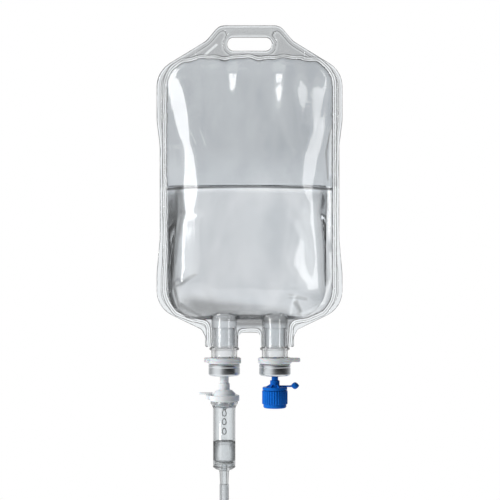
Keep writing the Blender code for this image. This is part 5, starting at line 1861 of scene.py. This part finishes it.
@dataclass
class DripChamber:
    """The clear barrel with its flared socket, base, standing fluid and three drops."""

    at: Point = (-PORT_X, 0, 0)
    top: float = -0.2436
    bottom: float = -0.2864
    level: float = -0.2706
    drops: tuple[float, ...] = (-0.2515, -0.2572, -0.2636)

    def build(self) -> None:
        """Make the barrel, the base, the fluid and the drops."""
        barrel = spun([
            (0.00915, self.top, 0.0004), (0.00915, self.top - 0.0014, 0.0006),
            (0.00875, self.top - 0.0022, 0.001), (0.00755, self.top - 0.0042, 0.0018),
            (0.0075, -0.265, 0), (0.0075, self.bottom, 0.0003), (0.00655, self.bottom, 0.0002),
            (0.00655, self.top, 0.0002)], self.at, 80)
        Piece("clear_barrel", CHAMBER, "giving_set", "chamber_clear", ("drip_chamber",),
              40).place(barrel)
        base = spun([
            (0.00625, -0.2849, 0.0003), (0.00625, -0.2867, 0.0001), (0.00755, -0.2867, 0.0004),
            (0.00755, -0.2876, 0.0007), (0.0058, -0.2889, 0.001), (0.0036, -0.2897, 0.0008),
            (0.0032, -0.291, 0.0006), (0.0028, -0.2988, 0.0003), (0.0015, -0.2988, 0.0002),
            (0.0015, -0.2849, 0.0002)], self.at, 64)
        Piece("chamber_foot", CHAMBER, "giving_set", "chamber_clear", ("chamber_base",),
              40).place(base)
        pool = spun([
            (0, self.level - 0.0006, 0), (0.0048, self.level - 0.0005, 0.002),
            (0.0065, self.level + 0.0006, 0.0004), (0.0066, self.level + 0.0005, 0),
            (0.0066, -0.2829, 0.0004), (0.006, -0.2833, 0.0003), (0, -0.2833, 0)], self.at, 64)
        Piece("chamber_pool", POOL, "giving_set", "water", ("chamber_fluid",), 50).place(pool)
        dress(FELT, "fluid_filter", "vent_filter", "cap_liner")
        for index, height in enumerate(self.drops):
            self.build_drop(f"drop_{index + 1}", height)

    def build_drop(self, name: str, height: float) -> None:
        """A drop of fluid, with a fuller foot.

        Args:
            name: the piece's name.
            height: its middle.
        """
        work = bmesh.new()
        bmesh.ops.create_uvsphere(work, u_segments=32, v_segments=20, radius=1)
        for vert in work.verts:
            width = 0.0016 * (1 - 0.16 * vert.co.z)
            vert.co = (self.at[0] + vert.co.x * width, vert.co.y * width,
                       height + vert.co.z * 0.00235)
        Piece(name, DROP, "giving_set", "water").place(work)


# ---------------------------------------------------------------- adapter


@dataclass
class Adapter:
    """The blue adapter in the right port: stem, disc, arm with its bulb, and the ribbed cap."""

    at: Point = (PORT_X, 0, 0)
    disc_top: float = -0.2341
    ribs: int = 30

    def build(self) -> None:
        """Make the adapter and its screw cap."""
        work = spun([
            (0.0013, -0.2141, 0.0002), (0.0022, -0.2174, 0.0006), (0.0022, -0.2296, 0.0003),
            (0.0032, -0.2296, 0.0005), (0.0032, self.disc_top, 0.0006),
            (0.008, self.disc_top, 0.0003), (0.0083, self.disc_top - 0.0003, 0.0004),
            (0.0083, -0.2358, 0.0004), (0.008, -0.2361, 0.0003), (0.0046, -0.2361, 0.0003),
            (0.0046, -0.2443, 0.0005), (0.001, -0.2443, 0.0002), (0.001, -0.2141, 0.0001),
        ], self.at, 72)
        arm = block((PORT_X + 0.0024, -0.0012, -0.2341), (PORT_X + 0.0122, 0.0012, -0.233),
                    0.0004, 2)
        bulb = bmesh.new()
        bmesh.ops.create_uvsphere(bulb, u_segments=32, v_segments=20, radius=1)
        for vert in bulb.verts:
            lens = 0.0024 * max((1 - min(abs(vert.co.x), 1)) ** 0.25, 0.3)
            vert.co = (PORT_X + 0.0135 + vert.co.x * 0.00275, vert.co.y * lens,
                       -0.2332 + vert.co.z * lens)
        fins = block_ring(self.at, (60, 120, 180, 240, 300), (0.0026, -0.0003, -0.2343),
                          (0.006, 0.0003, -0.2318), 0.0001, "UNION", 0.002)
        Piece("blue_adapter", BLUE, "adapter", "adapter_blue", ("adapter",), 36).place(
            carved(work, [(arm, "UNION"), (bulb, "UNION"), *fins]))
        self.build_cap()

    def build_cap(self) -> None:
        """The screw cap: a skirt with rounded ribs, a plain foot and a bored well."""
        points = ribbed(self.ribs, 8, lambda turn: 0.00855 - 0.00055 * (
            1 - abs(math.cos(turn / 2)) ** 0.8), PORT_X)
        skirt = slab(points, 0.009, Matrix.Translation((0, 0, -0.2409)), 0.00035, 2)
        foot = spun([(0, -0.2444, 0), (0.00775, -0.2444, 0), (0.00775, -0.2481, 0.0012),
                     (0, -0.2481, 0)], self.at, 72)
        well = spun([(0, -0.2354, 0), (0.005, -0.2354, 0), (0.005, -0.2459, 0),
                     (0, -0.2459, 0)], self.at, 56)
        work = carved(skirt, ((foot, "UNION"), (well, "DIFFERENCE")))
        Piece("ribbed_cap", BLUE, "screw_cap", "adapter_blue", ("screw_cap",), 38).place(work)


# ---------------------------------------------------------------- clamp, ties and luer end


@dataclass
class RollerClamp:
    """The roller clamp round the tube: a channel with guide slots, and a ribbed wheel."""

    top: float = -0.3221
    bottom: float = -0.3601
    wheel_y: float = -0.0082
    wheel_z: float = -0.3321
    side: float = 0.0061
    channel: float = 0.0035
    front: float = -0.0121

    def build(self) -> list[bpy.types.Object]:
        """Make the housing and the wheel.

        Returns:
            Both objects.
        """
        top, bottom, side, channel = self.top, self.bottom, self.side, self.channel
        middle = (top + bottom) / 2
        work = self.bar(side, self.front, side, bottom, top, 0.0011, 3)
        gaps = [
            self.bar(channel, -channel, channel, bottom - 0.001, top + 0.001, 0.0005, 2),
            self.bar(channel, self.front - 0.002, 0, bottom + 0.003, top - 0.003, 0.0003, 1),
            self.bar(side + 0.001, self.wheel_y - 0.0017, self.wheel_y + 0.0017,
                     middle - 0.0107, middle + 0.0107, 0.0006, 2)]
        for step in range(6):
            z = bottom + 0.0062 + step * 0.0052
            gaps.append(self.bar(0.0048, side - 0.0003, side + 0.001, z - 0.0006, z + 0.0006,
                                 0.00015, 1))
        cutters = [(gap, "DIFFERENCE") for gap in gaps]
        housing = Piece("clamp_body", WHITE, "clamp", "spike_white", ("clamp_housing",),
                        36).place(carved(work, cutters))
        return [housing, self.build_wheel()]

    @staticmethod
    def bar(half: float, front: float, back: float, low: float, high: float, bevel: float,
            segments: int) -> Shape:
        """A block that stands evenly to both sides of the tube.

        Args:
            half: half its width.
            front: its front along Y.
            back: its back along Y.
            low: its lower end.
            high: its upper end.
            bevel: radius of its edges.
            segments: how round they are.

        Returns:
            The block.
        """
        return block((-PORT_X - half, front, low), (-PORT_X + half, back, high), bevel, segments)

    def build_wheel(self) -> bpy.types.Object:
        """The wheel: fine teeth, a dished face each side, and its two pins.

        Returns:
            The wheel's object.
        """
        place = (Matrix.Translation((-PORT_X, self.wheel_y, self.wheel_z))
                 @ Matrix.Rotation(math.pi / 2, 4, "Y"))
        points = ribbed(24, 6, toothed(0.0047))
        work = slab(points, 0.0062, Matrix.Identity(4), 0.0003, 2)
        cutters = [(spun([(0.0018, 0.0024 * end, 0), (0.0036, 0.0024 * end, 0),
                          (0.0036, 0.004 * end, 0), (0.0018, 0.004 * end, 0)], steps=40),
                    "DIFFERENCE") for end in (-1, 1)]
        pin = spun([(0, 0.0051, 0), (0.0013, 0.0051, 0.0003), (0.0013, -0.0051, 0.0003),
                    (0, -0.0051, 0)], steps=28)
        cutters.append((pin, "UNION"))
        work = carved(work, cutters)
        bmesh.ops.transform(work, matrix=place, verts=work.verts)
        return Piece("clamp_roller", WHITE, "wheel", "spike_white", ("clamp_wheel",),
                     36).place(work)


@dataclass
class LuerEnd:
    """The luer connector at the far end, pointing up beside the coil, with its blue cap."""

    at: Point = (-0.05095, -0.0021, 0)
    bottom: float = -0.4461

    def build(self) -> list[bpy.types.Object]:
        """Make the connector and its cap.

        Returns:
            Both objects.
        """
        low = self.bottom
        work = spun([
            (0.0021, low + 0.031, 0.0002), (0.0024, low + 0.023, 0), (0.0046, low + 0.023, 0.0005),
            (0.0052, low + 0.0224, 0.0005), (0.0052, low + 0.015, 0.0005),
            (0.0039, low + 0.014, 0.0008), (0.0037, low + 0.002, 0),
            (0.0039, low + 0.0016, 0.0003), (0.0039, low, 0.0005), (0.0031, low, 0.0002),
            (0.0031, low + 0.006, 0), (0.0011, low + 0.0062, 0), (0.0011, low + 0.031, 0.0001)],
            self.at, 48)
        grooves = block_ring(self.at, (22.5 * index for index in range(16)),
                             (0.00495, -0.00032, low + 0.0158),
                             (0.006, 0.00032, low + 0.0222), 0.0001, "DIFFERENCE")
        connector = Piece("luer_lock", WHITE, "giving_set", "spike_white", ("luer_connector",),
                          36).place(carved(work, grooves))
        rim = low + 0.0233
        end = rim + 0.011
        points = ribbed(20, 6, toothed(0.0046), *self.at[:2])
        cap = slab(points, 0.011, Matrix.Translation((0, 0, (rim + end) / 2)), 0.0006, 3)
        well = spun([(0, end - 0.0014, 0), (0.0028, end - 0.0014, 0), (0.0028, rim - 0.001, 0),
                     (0, rim - 0.001, 0)], self.at, 40)
        cover = Piece("luer_cover", BLUE, "luer_cap", "adapter_blue", ("luer_cap",), 36).place(
            carved(cap, ((well, "DIFFERENCE"),)))
        return [connector, cover]


# ---------------------------------------------------------------- main


def main() -> None:
    """Build the studio and every sub-assembly, which logs the tube's length, then let some lamps
    light only some pieces.
    """
    logging.basicConfig(level=logging.INFO, format="%(name)s: %(message)s")
    studio = Studio()
    studio.build()
    on_tube = RollerClamp().build() + LuerEnd().build()
    TubeLine().build(on_tube + dress(TIE, "tube_tie_upper", "tube_tie_side"))
    Bag().build()
    Port(Side.LEFT, 0.0134, 0.009).build()
    Port(Side.RIGHT, 0.017, 0.007).build()
    Spike().build()
    DripChamber().build()
    Adapter().build()
    clear = [f"{sheet.name.lower()}_sheet" for sheet in Sheet]
    clear += ["left_neck", "right_neck", "clear_barrel", "infusion_line"]
    studio.keep_to(("key_core", "key_halo", "side_core", "side_halo"),
                   [bpy.data.objects[name] for name in clear])
    studio.keep_to(("rim_right",), [bpy.data.objects[f"{side.name.lower()}_collar"]
                                    for side in Side])
    log.info("the whole bag is built")


if __name__ == "__main__":
    main()
